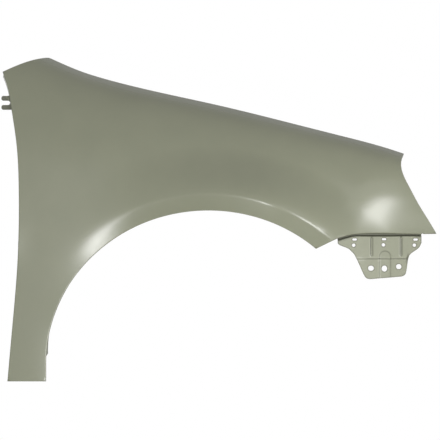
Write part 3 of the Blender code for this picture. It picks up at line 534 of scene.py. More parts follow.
def skin_grid():
    """Points of the skin in the XZ plane, as columns from the arch edge to the outer edge."""
    near_rows = spread(ARCH_ROWS)
    corner_row = float(arch_distance(*np.array(LOWER_FRONT_EDGE[1])))
    near_rows[np.argmin(np.abs(near_rows - corner_row))] = corner_row
    far_rows = spread(OUTER_ROWS)[::-1]
    outer, outer_lengths, corners = outer_columns()
    arch, arch_lengths = arch_columns(outer_lengths, outer_lengths[corners[1]])
    parts = np.linspace(0, 1, CURVE_SAMPLES)
    straight = arch[-1] + parts[:, None] * (outer[-1] - arch[-1])
    to_front = lower_front_line(parts) - straight
    reach = arch_lengths[-1] * FRONT_BLEND
    along = unit(np.gradient(outer, axis=0))
    across = unit(outer - arch)
    crossing = np.abs(across[:, 0] * along[:, 1] - across[:, 1] * along[:, 0])
    squares = softened(np.maximum(SKEW_LIMIT, crossing))
    grid = []
    for low, high, length, square in zip(arch, outer, arch_lengths, squares):
        path = low + parts[:, None] * (high - low)
        path = path + max(0.0, 1 - (arch_lengths[-1] - length) / reach) ** 2 * to_front
        run = np.concatenate([[0.0], np.cumsum(np.linalg.norm(np.diff(path, axis=0), axis=1))])
        edge = np.maximum.accumulate(arch_distance(path[:, 0], path[:, 1]))
        room = ROW_SHARE * run[-1] - 2 * CORNER_RELIEF
        scale = min(1.0, room / (near_rows[-1] + far_rows[0] / square - 2 * CORNER_RELIEF))
        near = np.interp(rows_scaled(near_rows, scale), edge, run)
        far = run[-1] - rows_scaled(far_rows, scale) / square
        middle = np.linspace(near[-1], far[0], MIDDLE_ROWS + 1)[1:-1]
        places = np.concatenate([[0.0], near, middle, far, run[-1:]])
        grid.append([[np.interp(p, run, path[:, 0]), np.interp(p, run, path[:, 1])] for p in places])
    return np.array(grid), corners


class Sheet:
    """Points and faces of the folded sheet, before it gets its thickness."""

    def __init__(self):
        self.points = []
        self.faces = []

    def add(self, points):
        """Adds points of shape (..., 3) and gives their numbers in the same shape."""
        points = np.asarray(points, float)
        first = len(self.points)
        self.points.extend(points.reshape(-1, 3))
        return np.arange(first, len(self.points)).reshape(points.shape[:-1])

    def join(self, row, other):
        """Faces between two rows of as many points."""
        for i in range(len(row) - 1):
            self.faces.append([row[i], row[i + 1], other[i + 1], other[i]])

    def zip(self, row, other):
        """Triangles between two rows that both run along +X with different steps."""
        i, j = 0, 0
        while i < len(row) - 1 or j < len(other) - 1:
            next_row = self.points[row[i + 1]][0] if i < len(row) - 1 else math.inf
            next_other = self.points[other[j + 1]][0] if j < len(other) - 1 else math.inf
            if next_row < next_other:
                self.faces.append([row[i], row[i + 1], other[j]])
                i += 1
            else:
                self.faces.append([row[i], other[j + 1], other[j]])
                j += 1


def unit(vectors):
    """The vectors brought to a length of one."""
    return vectors / np.linalg.norm(vectors, axis=-1, keepdims=True)


def edge_frames(line, outward):
    """Directions at each point of a skin edge: out of the edge along the skin, and into the body."""
    along_x, along_z = skin_slopes(line[:, 0], line[:, 1])
    rise = along_x * outward[:, 0] + along_z * outward[:, 1]
    leave = np.stack([outward[:, 0], rise, outward[:, 1]], axis=1)
    inward = np.stack([-along_x, np.ones(len(line)), -along_z], axis=1)
    return unit(leave), unit(inward)


def outward_of(line, inside):
    """Unit normals of a line in the XZ plane, away from a line of points inside it."""
    along = unit(np.gradient(line, axis=0))
    normal = np.stack([along[:, 1], -along[:, 0]], axis=1)
    side = np.sign(np.sum(normal * (line - inside), axis=1, keepdims=True))
    return normal * side


def drawn_in(line, outward):
    """The edge moved in by a bend's radius, so that the bend ends at the outline."""
    along_x, along_z = skin_slopes(line[:, 0], line[:, 1])
    steep = along_x * outward[:, 0] + along_z * outward[:, 1]
    return line - outward * (BEND_RADIUS / np.sqrt(1 + steep**2))[:, None]


def bend_rows(points, leave, inward):
    """Rows of points round a quarter bend from the skin's edge."""
    rows = []
    for k in range(1, BEND_STEPS + 1):
        turn = math.pi / 2 * k / BEND_STEPS
        rows.append(points + BEND_RADIUS * (math.sin(turn) * leave + (1 - math.cos(turn)) * inward))
    return rows


def on_skin(line):
    """Points of the skin over a line in the XZ plane."""
    return np.stack([line[:, 0], skin_depth(line[:, 0], line[:, 1]), line[:, 1]], axis=1)


class Edge:
    """A stretch of the skin's edge that is folded in, with its points, numbers and directions."""

    def __init__(self, sheet, numbers, line, inside):
        self.sheet = sheet
        self.numbers = numbers
        self.outward = outward_of(line, inside)
        self.line = drawn_in(line, self.outward)
        self.points = on_skin(self.line)
        self.leave, self.inward = edge_frames(self.line, self.outward)
        for number, point in zip(numbers, self.points):
            sheet.points[number] = point
        self.rows = bend_rows(self.points, self.leave, self.inward)
        self.bend = [numbers]

    def firm(self, numbers):
        """Brings the skin's next row, save its ends, up to the bend, so that the skin stays flat there."""
        places = on_skin(self.line - FIRM_GAP * self.outward)
        for number, place in zip(numbers[1:-1], places[1:-1]):
            self.sheet.points[number] = place

    def fold(self, length):
        """Folds the edge in, leaves a flat return of this length and gives its last row."""
        return self.follow(self.rows + [self.rows[-1] + length * self.inward])

    def follow(self, rows):
        """Adds rows of points one after the other, and gives the last row's numbers and points."""
        last = self.numbers
        for row in rows:
            numbers = self.sheet.add(row)
            self.sheet.join(last, numbers)
            self.bend.append(numbers)
            last = numbers
        return last, rows[-1]

    def end(self, place):
        """The numbers round the bend at the first or the last of the edge's points."""
        return [row[place] for row in self.bend[:BEND_STEPS + 1]]


def rail_height(x):
    """Height of the bolt rail: level at each pad, and sloping from pad to pad."""
    knots, heights = [], []
    for pad in RAIL_PADS_X:
        level = float(top_line(np.array([pad]))[0]) - RAIL_DROP
        for end in (-RAIL_PAD_LENGTH / 2, RAIL_PAD_LENGTH / 2):
            knots.append(pad + end)
            heights.append(level)
    ends = [TOP_EDGE[0][0], TOP_EDGE[-1][0]]
    end_heights = [TOP_EDGE[0][1] - RAIL_DROP, TOP_EDGE[-1][1] - RAIL_DROP]
    return np.interp(x, [ends[0], *knots, ends[1]], [end_heights[0], *heights, end_heights[1]])


def fold_rail(edge):
    """The wall below the bonnet edge and the level rail at its foot."""
    top = edge.rows[-1]
    x = top[:, 0]
    floor = rail_height(x)
    foot_y = top[:, 1] + RAIL_WALL_LEAN * (top[:, 2] - floor - BEND_RADIUS)
    turn = BEND_RADIUS * math.sin(math.pi / 4)
    back = BEND_RADIUS - turn
    rows = [
        np.stack([x, foot_y, floor + BEND_RADIUS], axis=1),
        np.stack([x, foot_y + back, floor + back], axis=1),
        np.stack([x, foot_y + BEND_RADIUS, floor], axis=1),
        np.stack([x, foot_y + RAIL_WIDTH, floor], axis=1),
    ]
    edge.follow(edge.rows + rows)
    return rows[-2], rows[-1]


def fork_prongs():
    """The free end of the fixing tab in the XZ plane, before its slot is cut, with two round prong ends."""
    middle = (FORK_TOP_Z + FORK_BOTTOM_Z) / 2
    half_slot = FORK_SLOT_WIDTH / 2
    radius = min(FORK_TIP_RADIUS, (FORK_TOP_Z - middle - half_slot) / 2)
    upper = []
    for turn in np.radians(np.linspace(0, 90, FORK_TIP_STEPS)):
        upper.append((radius * (1 - math.sin(turn)), FORK_TOP_Z - radius * (1 - math.cos(turn))))
    for turn in np.radians(np.linspace(0, 90, FORK_TIP_STEPS)):
        upper.append((radius * (1 - math.cos(turn)), middle + half_slot + radius * (1 - math.sin(turn))))
    upper = shifted(upper, (ARCH_REAR[0] + FORK_TIP_X, 0.0))
    lower = [(x, 2 * middle - z) for x, z in upper[::-1]]
    return [*upper, *lower]


def add_fork(sheet, numbers, points):
    """The fixing tab, bent back from a short stretch of the rear return."""
    depth = points[:, 1].max()
    for number, point in zip(numbers, points):
        sheet.points[number] = np.array([point[0], depth, point[2]])
    height = np.interp(points[:, 2], points[[0, -1], 2], [FORK_BOTTOM_Z, FORK_TOP_Z])
    last = numbers
    for k in range(1, BEND_STEPS + 1):
        turn = math.pi / 2 * k / BEND_STEPS
        back = points[:, 0] - BEND_RADIUS * (1 - math.cos(turn))
        deep = np.full(len(points), depth + BEND_RADIUS * math.sin(turn))
        row = sheet.add(np.stack([back, deep, height], axis=1))
        sheet.join(last, row)
        last = row
    prongs = sheet.add([(x, depth + BEND_RADIUS, z) for x, z in fork_prongs()])
    sheet.faces.append([*last, *prongs])
    return depth + BEND_RADIUS


def plate_relief(x, z, low):
    """How far the flange lies inboard of its plane, for its joggle, beads and pad."""
    relief = JOGGLE_DEPTH * smooth_step(JOGGLE_Z - z, -JOGGLE_REACH / 2, JOGGLE_REACH / 2)
    run_out = smooth_step(low - z, 0.0, BEAD_RUN_OUT)
    half_bead = BEAD_WIDTH / 2
    for bead in BEADS_X:
        beyond = np.maximum(BEAD_END_Z + half_bead - z, 0.0)
        away = np.minimum(np.hypot(x - bead, beyond) / half_bead, 1.0)
        relief = relief - BEAD_HEIGHT * run_out * (1 + np.cos(math.pi * away)) / 2
    half = PAD_WIDTH / 2
    beside = np.abs(x - PAD_CENTRE_X)
    above = np.maximum(z - (PAD_TOP_Z - half), 0.0)
    outside = np.hypot(beside, above) - half
    return relief - PAD_HEIGHT * (1 - smooth_step(outside, -PAD_STEP, 0.0))


def plate_foot(across):
    """Height of the flange's lower edge, with its corners rounded."""
    around = np.linspace(-PLATE_ROUNDING, PLATE_ROUNDING, PLATE_ROUNDING_STEPS)
    knots = np.array(PLATE_FOOT)
    heights = np.interp(across + around[:, None], knots[:, 0], knots[:, 1])
    return heights.mean(axis=0)


def add_plate(sheet, edge):
    """The channel under the nose and the perforated plate that hangs from it."""
    across = np.linspace(PLATE_LEFT_X, PLATE_RIGHT_X, PLATE_COLUMNS)
    x = ARCH_FRONT[0] + across
    lip = edge.rows[-1]
    limits = [ARCH_FRONT[0] + PLATE_LEFT_X, ARCH_FRONT[0] + PLATE_RIGHT_X]
    ends = np.interp(limits, lip[:, 0], lip[:, 1]) + PLATE_SETBACK
    face = np.interp(x, limits, ends)
    level = np.interp(x, lip[:, 0], lip[:, 2])
    top = np.minimum(level - CHANNEL_HEIGHT, ARCH_FRONT[1] + PLATE_TOP_Z)
    back = face + CHANNEL_DEPTH
    corner = (level - top) * CHANNEL_CORNER
    rows = [
        (back - corner, level),
        (back, level - corner),
        (back, top + corner),
        (back - corner, top),
        (face + corner, top),
        (face, top - corner),
    ]
    first = sheet.add(np.stack([x, rows[0][0], rows[0][1]], axis=1))
    edge_numbers, _ = edge.follow(edge.rows)
    sheet.zip(edge_numbers, first)
    last = first
    for depth, height in rows[1:]:
        row = sheet.add(np.stack([x, depth, height], axis=1))
        sheet.join(last, row)
        last = row
    low = rows[-1][1] - ARCH_FRONT[1]
    foot = plate_foot(across)
    for share in np.linspace(0, 1, PLATE_ROWS + 1)[1:]:
        height = low + share * (foot - low)
        depth = face + plate_relief(across, height, low)
        row = sheet.add(np.stack([x, depth, ARCH_FRONT[1] + height], axis=1))
        sheet.join(last, row)
        last = row
    return ends


def add_skin(sheet):
    """The outer skin, and the numbers of its points by column and row."""
    grid, corners = skin_grid()
    depth = skin_depth(grid[..., 0], grid[..., 1])
    numbers = sheet.add(np.stack([grid[..., 0], depth, grid[..., 1]], axis=-1))
    for low, high in zip(numbers, numbers[1:]):
        sheet.join(low, high)
    return grid, numbers, corners


class Corner:
    """A corner of the skin between two edges, where their bends run into each other."""

    def __init__(self, sheet, number, *ends):
        self.sheet = sheet
        self.number = number
        self.ends = ends
        point = sheet.points[number]
        outward = np.array([edge.outward[place] for edge, place, _ in ends])
        folded = np.array([1.0 if bent else 0.0 for _, _, bent in ends])
        self.way = np.linalg.lstsq(outward, folded, rcond=None)[0]
        self.line = drawn_in(np.array([[point[0], point[2]]]), self.way[None])
        self.point = on_skin(self.line)[0]
        sheet.points[number] = self.point

    def close(self):
        """Carries the bends of the folded edges round the corner."""
        _, inward = edge_frames(self.line, self.way[None])
        along_x, along_z = skin_slopes(self.line[:, 0], self.line[:, 1])
        steep = (along_x * self.way[0] + along_z * self.way[1])[0]
        leave = np.array([self.way[0], steep, self.way[1]]) / math.sqrt(1 + steep**2)
        column = [self.number, *self.sheet.add(bend_rows(self.point, leave, inward[0]))]
        for edge, place, bent in self.ends:
            if bent:
                self.sheet.join(edge.end(place), column)


def build_sheet():
    """The folded sheet, and the places on it that holes are set from."""
    sheet = Sheet()
    grid, numbers, corners = add_skin(sheet)
    sill_corner, pillar_corner, bonnet_corner, headlamp_corner, nose_corner = corners
    x = grid[-1, :, 0]
    bend = int(np.argmin(np.abs(x - LOWER_FRONT_EDGE[1][0])))
    plate_end = int(np.argmin(np.abs(x - ARCH_FRONT[0] - PLATE_RIGHT_X)))

    def outer_edge(first, last):
        span = slice(first + 1, last)
        return Edge(sheet, numbers[span, -1], grid[span, -1], grid[span, -2])

    def front_edge(first, last):
        span = slice(first + 1, last)
        return Edge(sheet, numbers[-1, span], grid[-1, span], grid[-2, span])

    arch = Edge(sheet, numbers[1:-1, 0], grid[1:-1, 0], grid[1:-1, 1])
    sill = Edge(sheet, numbers[0, 1:-1], grid[0, 1:-1], grid[1, 1:-1])
    rear = outer_edge(sill_corner, pillar_corner)
    pillar = outer_edge(pillar_corner, bonnet_corner)
    bonnet = outer_edge(bonnet_corner, headlamp_corner)
    headlamp = outer_edge(headlamp_corner, nose_corner)
    band = front_edge(0, bend)
    nose = front_edge(bend, plate_end + 1)
    skin_corners = [
        Corner(sheet, numbers[0, 0], (arch, 0, True), (sill, 0, True)),
        Corner(sheet, numbers[0, -1], (sill, -1, True), (rear, 0, True)),
        Corner(sheet, numbers[pillar_corner, -1], (rear, -1, True), (pillar, 0, True)),
        Corner(sheet, numbers[bonnet_corner, -1], (pillar, -1, True), (bonnet, 0, True)),
        Corner(sheet, numbers[headlamp_corner, -1], (bonnet, -1, True), (headlamp, 0, True)),
        Corner(sheet, numbers[-1, -1], (headlamp, -1, True), (nose, -1, False)),
        Corner(sheet, numbers[-1, bend], (nose, 0, True), (band, -1, True)),
        Corner(sheet, numbers[-1, 0], (band, 0, True), (arch, -1, True)),
    ]

    arch.firm(numbers[1:-1, 1])
    sill.firm(numbers[1, 1:-1])
    rear.firm(numbers[sill_corner + 1:pillar_corner, -2])
    pillar.firm(numbers[pillar_corner + 1:bonnet_corner, -2])
    headlamp.firm(numbers[headlamp_corner + 1:nose_corner, -2])
    band.firm(numbers[-2, 1:bend])
    nose.firm(numbers[-2, bend + 1:plate_end + 1])

    lip_numbers, lip_points = arch.fold(LIP_LENGTH)
    height = lip_points[:, 2]
    tab = (height > LINER_TAB_LOW_Z) & (height < LINER_TAB_HIGH_Z) & (lip_points[:, 0] < 0)
    reach = LINER_TAB_REACH * (LINER_TAB_HIGH_Z - height) / (LINER_TAB_HIGH_Z - LINER_TAB_LOW_Z)
    for number, out in zip(lip_numbers[tab], reach[tab]):
        sheet.points[number] = sheet.points[number] + np.array([out, 0.0, 0.0])
    _, sill_points = sill.fold(SILL_RETURN)
    rear_numbers, rear_points = rear.fold(REAR_RETURN)
    heights = rear_points[:, 2]
    root = slice(np.argmin(np.abs(heights - FORK_BOTTOM_Z)), np.argmin(np.abs(heights - FORK_TOP_Z)) + 1)
    fork_depth = add_fork(sheet, rear_numbers[root], rear_points[root])
    pillar.fold(PILLAR_RETURN)
    rail_inner, rail_outer = fold_rail(bonnet)
    headlamp.fold(HEADLAMP_RETURN)
    band.fold(BAND_END_RETURN)
    plate_ends = add_plate(sheet, nose)
    for corner in skin_corners:
        corner.close()
    places = {
        "lip": (lip_points, arch.rows[-1]),
        "sill": (sill_points + sill.rows[-1]) / 2,
        "plate": plate_ends,
        "rail": (rail_inner, rail_outer),
        "fork": fork_depth,
    }
    return sheet, places


def prism(shape, centre, axis, along, size):
    """Adds a prism to the cutter, with an obround section square to the axis."""
    axis = unit(np.array(axis, float))
    along = unit(np.array(along, float))
    across = np.cross(axis, along)
    radius = min(size) / 2
    reach = np.array(size) / 2 - radius
    rings = []
    for end in (-0.5, 0.5):
        ring = []
        for k in range(HOLE_SIDES):
            turn = 2 * math.pi * (k + 0.5) / HOLE_SIDES
            u = radius * math.cos(turn) + math.copysign(reach[0], math.cos(turn))
            v = radius * math.sin(turn) + math.copysign(reach[1], math.sin(turn))
            ring.append(shape.verts.new(centre + u * along + v * across + end * CUTTER_LENGTH * axis))
        rings.append(ring)
    shape.faces.new(rings[0][::-1])
    shape.faces.new(rings[1])
    for k in range(HOLE_SIDES):
        following = (k + 1) % HOLE_SIDES
        shape.faces.new([rings[0][k], rings[0][following], rings[1][following], rings[1][k]])


def lip_place(places, degrees):
    """Middle of the arch lip at an angle round the arch, and the way out of the wheel's opening there."""
    inner, outer = places["lip"]
    angles = arch_angle(outer[:, 0], outer[:, 2])
    order = np.argsort(angles)
    middle = (inner + outer) / 2
    centre = np.array([np.interp(degrees, angles[order], middle[order, k]) for k in range(3)])
    turn = math.radians(degrees)
    return centre, (math.cos(turn) / ARCH_HALF_LENGTH, 0.0, math.sin(turn) / ARCH_HEIGHT)


def rail_place(places, x):
    """Middle of the bolt rail's upper face."""
    inner, outer = places["rail"]
    middle = (inner + outer) / 2
    return np.array([np.interp(x, middle[:, 0], middle[:, k]) for k in range(3)])


def plate_place(places, x, z):
    """A point in the plane of the bumper flange, measured from the arch's front end."""
    depth = np.interp(x, [PLATE_LEFT_X, PLATE_RIGHT_X], places["plate"])
    return np.array([ARCH_FRONT[0] + x, depth, ARCH_FRONT[1] + z])


def sill_place(places, x):
    """Middle of the sill flange, at a place measured from the rear of the arch."""
    line = places["sill"][::-1]
    return np.array([np.interp(ARCH_REAR[0] + x, line[:, 0], line[:, k]) for k in range(3)])


def cut_holes(shape, places):
    """All the bolt, pilot and liner holes, and the slot of the forked tab."""
    plan = (PLATE_RIGHT_X - PLATE_LEFT_X, places["plate"][1] - places["plate"][0], 0.0)
    out = (plan[1], -plan[0], 0.0)
    holes = [(place, PLATE_SLOT_SIZE) for place in PLATE_SLOTS]
    holes += [(place, PLATE_PILOT_SIZE) for place in PLATE_PILOTS]
    holes += list(zip(PLATE_BOLT_HOLES, PLATE_BOLT_SIZES))
    for (x, z), size in holes:
        prism(shape, plate_place(places, x, z), out, plan, size)
    for pad in RAIL_PADS_X:
        prism(shape, rail_place(places, pad + RAIL_SLOT_AHEAD), (0, 0, 1), (1, 0, 0), RAIL_SLOT)
    for x in SILL_SLOTS_X:
        prism(shape, sill_place(places, x), (0, 0, 1), (1, 0, 0), SILL_SLOT)
    for degrees in LIP_HOLES_DEG:
        centre, outward = lip_place(places, degrees)
        prism(shape, centre, outward, (0, 1, 0), (LIP_HOLE, LIP_HOLE))
    slot_length = 2 * (FORK_SLOT_END_X - FORK_TIP_X)
    slot = np.array([ARCH_REAR[0] + FORK_TIP_X, places["fork"], (FORK_TOP_Z + FORK_BOTTOM_Z) / 2])
    prism(shape, slot, (0, 1, 0), (1, 0, 0), (slot_length, FORK_SLOT_WIDTH))


def linked(tree, kind, **values):
    """A new shader node, with its inputs set by name from the values."""
    node = tree.nodes.new(kind)
    for name, value in values.items():
        node.inputs[name.replace("_", " ")].default_value = value
    return node


def noise(tree, place, per_metre, detail):
    """A noise texture of the given fineness over the object's own coordinates."""
    node = linked(tree, "ShaderNodeTexNoise", Scale=per_metre, Detail=detail)
    tree.links.new(place.outputs["Object"], node.inputs["Vector"])
    return node.outputs["Fac"]


def ranged(tree, source, low, high, new_low, new_high):
    """The source carried from one range of values to another, and held inside it."""
    values = {"From_Min": low, "From_Max": high, "To_Min": new_low, "To_Max": new_high}
    node = linked(tree, "ShaderNodeMapRange", **values)
    tree.links.new(source, node.inputs["Value"])
    return node.outputs["Result"]


def mixed(tree, share, first, second):
    """A colour between two others, each of which may be a colour or another node's output."""
    node = tree.nodes.new("ShaderNodeMix")
    node.data_type = "RGBA"
    tree.links.new(share, node.inputs["Factor"])
    for side, colour in (("A", first), ("B", second)):
        if isinstance(colour, bpy.types.NodeSocket):
            tree.links.new(colour, node.inputs[side])
        else:
            node.inputs[side].default_value = colour
    return node.outputs["Result"]


def bumped(tree, height, depth, before=None):
    """A bump of the given depth in metres, laid over another one where there is one."""
    node = linked(tree, "ShaderNodeBump", Distance=depth)
    tree.links.new(height, node.inputs["Height"])
    if before:
        tree.links.new(before, node.inputs["Normal"])
    return node.outputs["Normal"]


def marked(tree, name):
    """The value that the mesh keeps under this name."""
    node = tree.nodes.new("ShaderNodeAttribute")
    node.attribute_name = name
    return node.outputs["Fac"]


def make_primer():
    """Satin primer: slightly uneven in tone and sheen, with orange peel, and painted light on the bumper
    flange, which is coloured lighter.

    The coat is duller where the sheet turns away from the spray, and there its colour is painted darker as
    shade. Cut edges are darker, partly from a thin coat and partly as painted shade; the flange's creases
    and the channel over it are painted darker as shade.
    """
    material = bpy.data.materials.new("satin_primer")
    material.use_nodes = True
    tree = material.node_tree
    shader = tree.nodes["Principled BSDF"]
    place = tree.nodes.new("ShaderNodeTexCoord")
    facing = tree.nodes.new("ShaderNodeSeparateXYZ")
    tree.links.new(place.outputs["Normal"], facing.inputs["Vector"])
    turned_shade_and_dullness = ranged(tree, facing.outputs["Y"], *TURNED_NORMAL_Y, 0.0, 1.0)
    mottle = noise(tree, place, **MOTTLE)
    grain = noise(tree, place, **GRAIN)
    peel = noise(tree, place, **PEEL)
    tone = mixed(tree, ranged(tree, mottle, *MOTTLE_RANGE, 0.0, 1.0), PAINT, PAINT_DARK)
    # Painted light on the bumper flange: its flat faces are coloured lighter for the light they catch.
    flat = tree.nodes.new("ShaderNodeVectorMath")
    flat.operation = "DOT_PRODUCT"
    flat.inputs[1].default_value = FLANGE_NORMAL
    tree.links.new(place.outputs["Normal"], flat.inputs[0])
    # Painted shade on the flanks of the flange's beads, joggle and pad, where its faces turn off its plane.
    crease_shade = ranged(tree, flat.outputs["Value"], *FLANGE_FLATNESS, 1.0, 0.0)
    flange_light_and_shade = mixed(tree, crease_shade, PAINT_FLANGE_LIGHT, PAINT_CREASE_SHADE)
    tone = mixed(tree, marked(tree, "flange_light_and_shade"), tone, flange_light_and_shade)
    # Painted shade on faces turned away from the body side; the same mask makes them duller below.
    tone = mixed(tree, turned_shade_and_dullness, tone, PAINT_TURNED_SHADE)
    # Painted shade in the channel over the flange.
    tone = mixed(tree, marked(tree, "channel_shade"), tone, PAINT_CHANNEL_SHADE)
    # Darker within a few millimetres of cut edges: partly a thin coat, partly painted shade of the folded
    # edges.
    edge_thin_and_shade = ranged(tree, marked(tree, "edge_distance"), 0.0, EDGE_DARK_REACH, 1.0, 0.0)
    tree.links.new(mixed(tree, edge_thin_and_shade, tone, PAINT_THIN_COAT_AND_SHADE), shader.inputs["Base Color"])
    dull = tree.nodes.new("ShaderNodeMath")
    dull.operation = "MULTIPLY_ADD"
    dull.inputs[1].default_value = DULL_ROUGHNESS
    tree.links.new(turned_shade_and_dullness, dull.inputs[0])
    tree.links.new(ranged(tree, mottle, *MOTTLE_RANGE, *ROUGHNESS_RANGE), dull.inputs[2])
    tree.links.new(dull.outputs["Value"], shader.inputs["Roughness"])
    relief = bumped(tree, grain, GRAIN_DEPTH, bumped(tree, peel, PEEL_DEPTH))
    tree.links.new(relief, shader.inputs["Normal"])
    return material


def place_object(name, mesh):
    """Makes the mesh an object, set so that the rail pad that the frame hangs by lies in its origin."""
    placed = bpy.data.objects.new(name, mesh)
    placed.location = [-value for value in ORIGIN]
    bpy.context.scene.collection.objects.link(placed)
    return placed


def make_panel(sheet):
    """The sheet as an object, with its normals towards the outside of the car."""
    mesh = bpy.data.meshes.new("fender_skin")
    faces = [list(map(int, face)) for face in sheet.faces]
    mesh.from_pydata([tuple(point) for point in sheet.points], [], faces)
    shape = bmesh.new()
    shape.from_mesh(mesh)
    bmesh.ops.recalc_face_normals(shape, faces=shape.faces)
    shape.faces.ensure_lookup_table()
    if shape.faces[0].normal.y > 0:
        bmesh.ops.reverse_faces(shape, faces=shape.faces)
    shape.to_mesh(mesh)
    shape.free()
    return place_object("fender_skin", mesh)


def make_cutter(places):
    """The shape that all the holes are cut with."""
    mesh = bpy.data.meshes.new("hole_cutter")
    shape = bmesh.new()
    cut_holes(shape, places)
    bmesh.ops.recalc_face_normals(shape, faces=shape.faces)
    shape.to_mesh(mesh)
    shape.free()
    return place_object("hole_cutter", mesh)


def thicken_and_cut(panel, cutter):
    """Gives the sheet its thickness and its holes, keeps the result as its mesh and drops the cutter."""
    thickness = panel.modifiers.new("thickness", "SOLIDIFY")
    thickness.thickness = SHEET
    thickness.offset = -1.0
    holes = panel.modifiers.new("holes", "BOOLEAN")
    holes.operation = "DIFFERENCE"
    holes.solver = "EXACT"
    holes.object = cutter
    graph = bpy.context.evaluated_depsgraph_get()
    mesh = bpy.data.meshes.new_from_object(panel.evaluated_get(graph), depsgraph=graph)
    panel.modifiers.clear()
    panel.data = mesh
    bpy.data.objects.remove(cutter)
    mesh.shade_smooth()
    mesh.set_sharp_from_angle(angle=math.radians(SHARP_DEG))


def keep_inside(mesh):
    """Brings points of the sharper corners, which stand a hair outside the solids' box, back to it."""
    places = np.empty(len(mesh.vertices) * 3)
    mesh.vertices.foreach_get("co", places)
    low, high = np.array(cad_low) + ORIGIN, np.array(cad_high) + ORIGIN
    mesh.vertices.foreach_set("co", np.clip(places.reshape(-1, 3), low, high).ravel())
    mesh.update()


def mark_paint(mesh, plate_ends):
    """Keeps what the primer's tones depend on: how near the cut edges are, the flange with its painted
    light and crease shade, and the channel over it with its painted shade.
    """
    shape = bmesh.new()
    shape.from_mesh(mesh)
    steepest = math.radians(CUT_EDGE_DEG)
    rim = [v.co for v in shape.verts if any(e.calc_face_angle(0.0) > steepest for e in v.link_edges)]
    tree = kdtree.KDTree(len(rim))
    for number, place in enumerate(rim):
        tree.insert(place, number)
    tree.balance()
    distances = [tree.find(v.co)[2] for v in shape.verts]
    shape.free()
    attribute = mesh.attributes.new("edge_distance", "FLOAT", "POINT")
    attribute.data.foreach_set("value", distances)
    places = np.array([v.co for v in mesh.vertices])
    limits = [ARCH_FRONT[0] + PLATE_LEFT_X, ARCH_FRONT[0] + PLATE_RIGHT_X]
    ahead = places[:, 0] > limits[0] - FLANGE_MARGIN
    below = places[:, 2] < ARCH_FRONT[1] + PLATE_TOP_Z + FLANGE_MARGIN
    # Points behind the flange's plane lie in the channel, which is painted darker as shade.
    sunk = places[:, 1] > np.interp(places[:, 0], limits, plate_ends) + CHANNEL_DEPTH / 3
    low = places[:, 2] < ARCH_FRONT[1] + CHANNEL_TOP_Z
    # The flange's mask carries its painted light and crease shade, and the channel's mask its painted
    # shade.
    for name, chosen in (("flange_light_and_shade", ahead & below & ~sunk), ("channel_shade", ahead & low & sunk)):
        attribute = mesh.attributes.new(name, "FLOAT", "POINT")
        attribute.data.foreach_set("value", chosen.astype(float))


def make_camera():
    """Looks level and square at the body side."""
    camera = bpy.data.objects.new("camera", bpy.data.cameras.new("camera"))
    camera.data.sensor_width = SENSOR
    camera.data.lens = SENSOR / 2 * CAMERA_DISTANCE / HALF_VIEW
    camera.location = Vector(CAMERA_AIM) - Vector(ORIGIN) - Vector((0.0, CAMERA_DISTANCE, 0.0))
    camera.rotation_euler = (math.pi / 2, 0.0, 0.0)
    bpy.context.scene.collection.objects.link(camera)
    bpy.context.scene.camera = camera


def make_lamp(name, place, size, power):
    """A soft box that the camera doesn't see, turned to the fender."""
    lamp = bpy.data.objects.new(name, bpy.data.lights.new(name, "AREA"))
    lamp.data.shape = "RECTANGLE"
    lamp.data.size, lamp.data.size_y = size
    lamp.data.energy = power
    lamp.location = Vector(place) - Vector(ORIGIN)
    lamp.rotation_euler = (Vector(LAMP_TARGET) - Vector(place)).to_track_quat("-Z", "Y").to_euler()
    lamp.visible_camera = False
    bpy.context.scene.collection.objects.link(lamp)


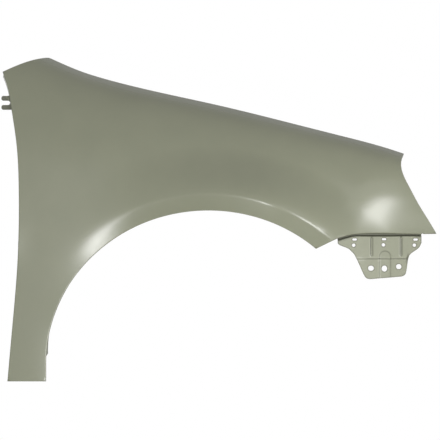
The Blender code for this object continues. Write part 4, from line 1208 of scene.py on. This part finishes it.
def make_world():
    """White where the camera and reflections see it, and a plain grey fill for the rest."""
    world = bpy.data.worlds.new("studio")
    world.use_nodes = True
    tree = world.node_tree
    tree.nodes.clear()
    rays = tree.nodes.new("ShaderNodeLightPath")
    seen = rays.outputs["Is Camera Ray"]
    for kind in ("Is Glossy Ray", "Is Transmission Ray"):
        either = tree.nodes.new("ShaderNodeMath")
        either.operation = "MAXIMUM"
        tree.links.new(seen, either.inputs[0])
        tree.links.new(rays.outputs[kind], either.inputs[1])
        seen = either.outputs["Value"]
    fill = linked(tree, "ShaderNodeBackground", Strength=WORLD_FILL)
    white = linked(tree, "ShaderNodeBackground", Color=(1.0, 1.0, 1.0, 1.0))
    fill.inputs["Color"].default_value = (1.0, 1.0, 1.0, 1.0)
    both = tree.nodes.new("ShaderNodeMixShader")
    out = tree.nodes.new("ShaderNodeOutputWorld")
    tree.links.new(seen, both.inputs["Fac"])
    tree.links.new(fill.outputs["Background"], both.inputs[1])
    tree.links.new(white.outputs["Background"], both.inputs[2])
    tree.links.new(both.outputs["Shader"], out.inputs["Surface"])
    bpy.context.scene.world = world


def make_floor():
    """A round pale floor, below what the camera sees."""
    mesh = bpy.data.meshes.new("floor")
    shape = bmesh.new()
    bmesh.ops.create_circle(shape, cap_ends=True, segments=FLOOR_SIDES, radius=FLOOR_RADIUS)
    shape.to_mesh(mesh)
    shape.free()
    floor = bpy.data.objects.new("floor", mesh)
    floor.location = Vector((CAMERA_AIM[0], 0.0, FLOOR_Z)) - Vector(ORIGIN)
    material = bpy.data.materials.new("floor_paper")
    material.use_nodes = True
    shader = material.node_tree.nodes["Principled BSDF"]
    shader.inputs["Base Color"].default_value = FLOOR_COLOUR
    shader.inputs["Roughness"].default_value = FLOOR_ROUGHNESS
    mesh.materials.append(material)
    bpy.context.scene.collection.objects.link(floor)


for old in ("Cube", "Light", "Camera"):
    if old in bpy.data.objects:
        bpy.data.objects.remove(bpy.data.objects[old])
sheet, places = build_sheet()
fender = make_panel(sheet)
thicken_and_cut(fender, make_cutter(places))
keep_inside(fender.data)
mark_paint(fender.data, places["plate"])
fender.data.materials.clear()
fender.data.materials.append(make_primer())
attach(fender, "root")
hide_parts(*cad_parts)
make_floor()
make_camera()
for lamp in LAMPS:
    make_lamp(*lamp)
make_world()
bpy.context.scene.view_settings.view_transform = "Standard"
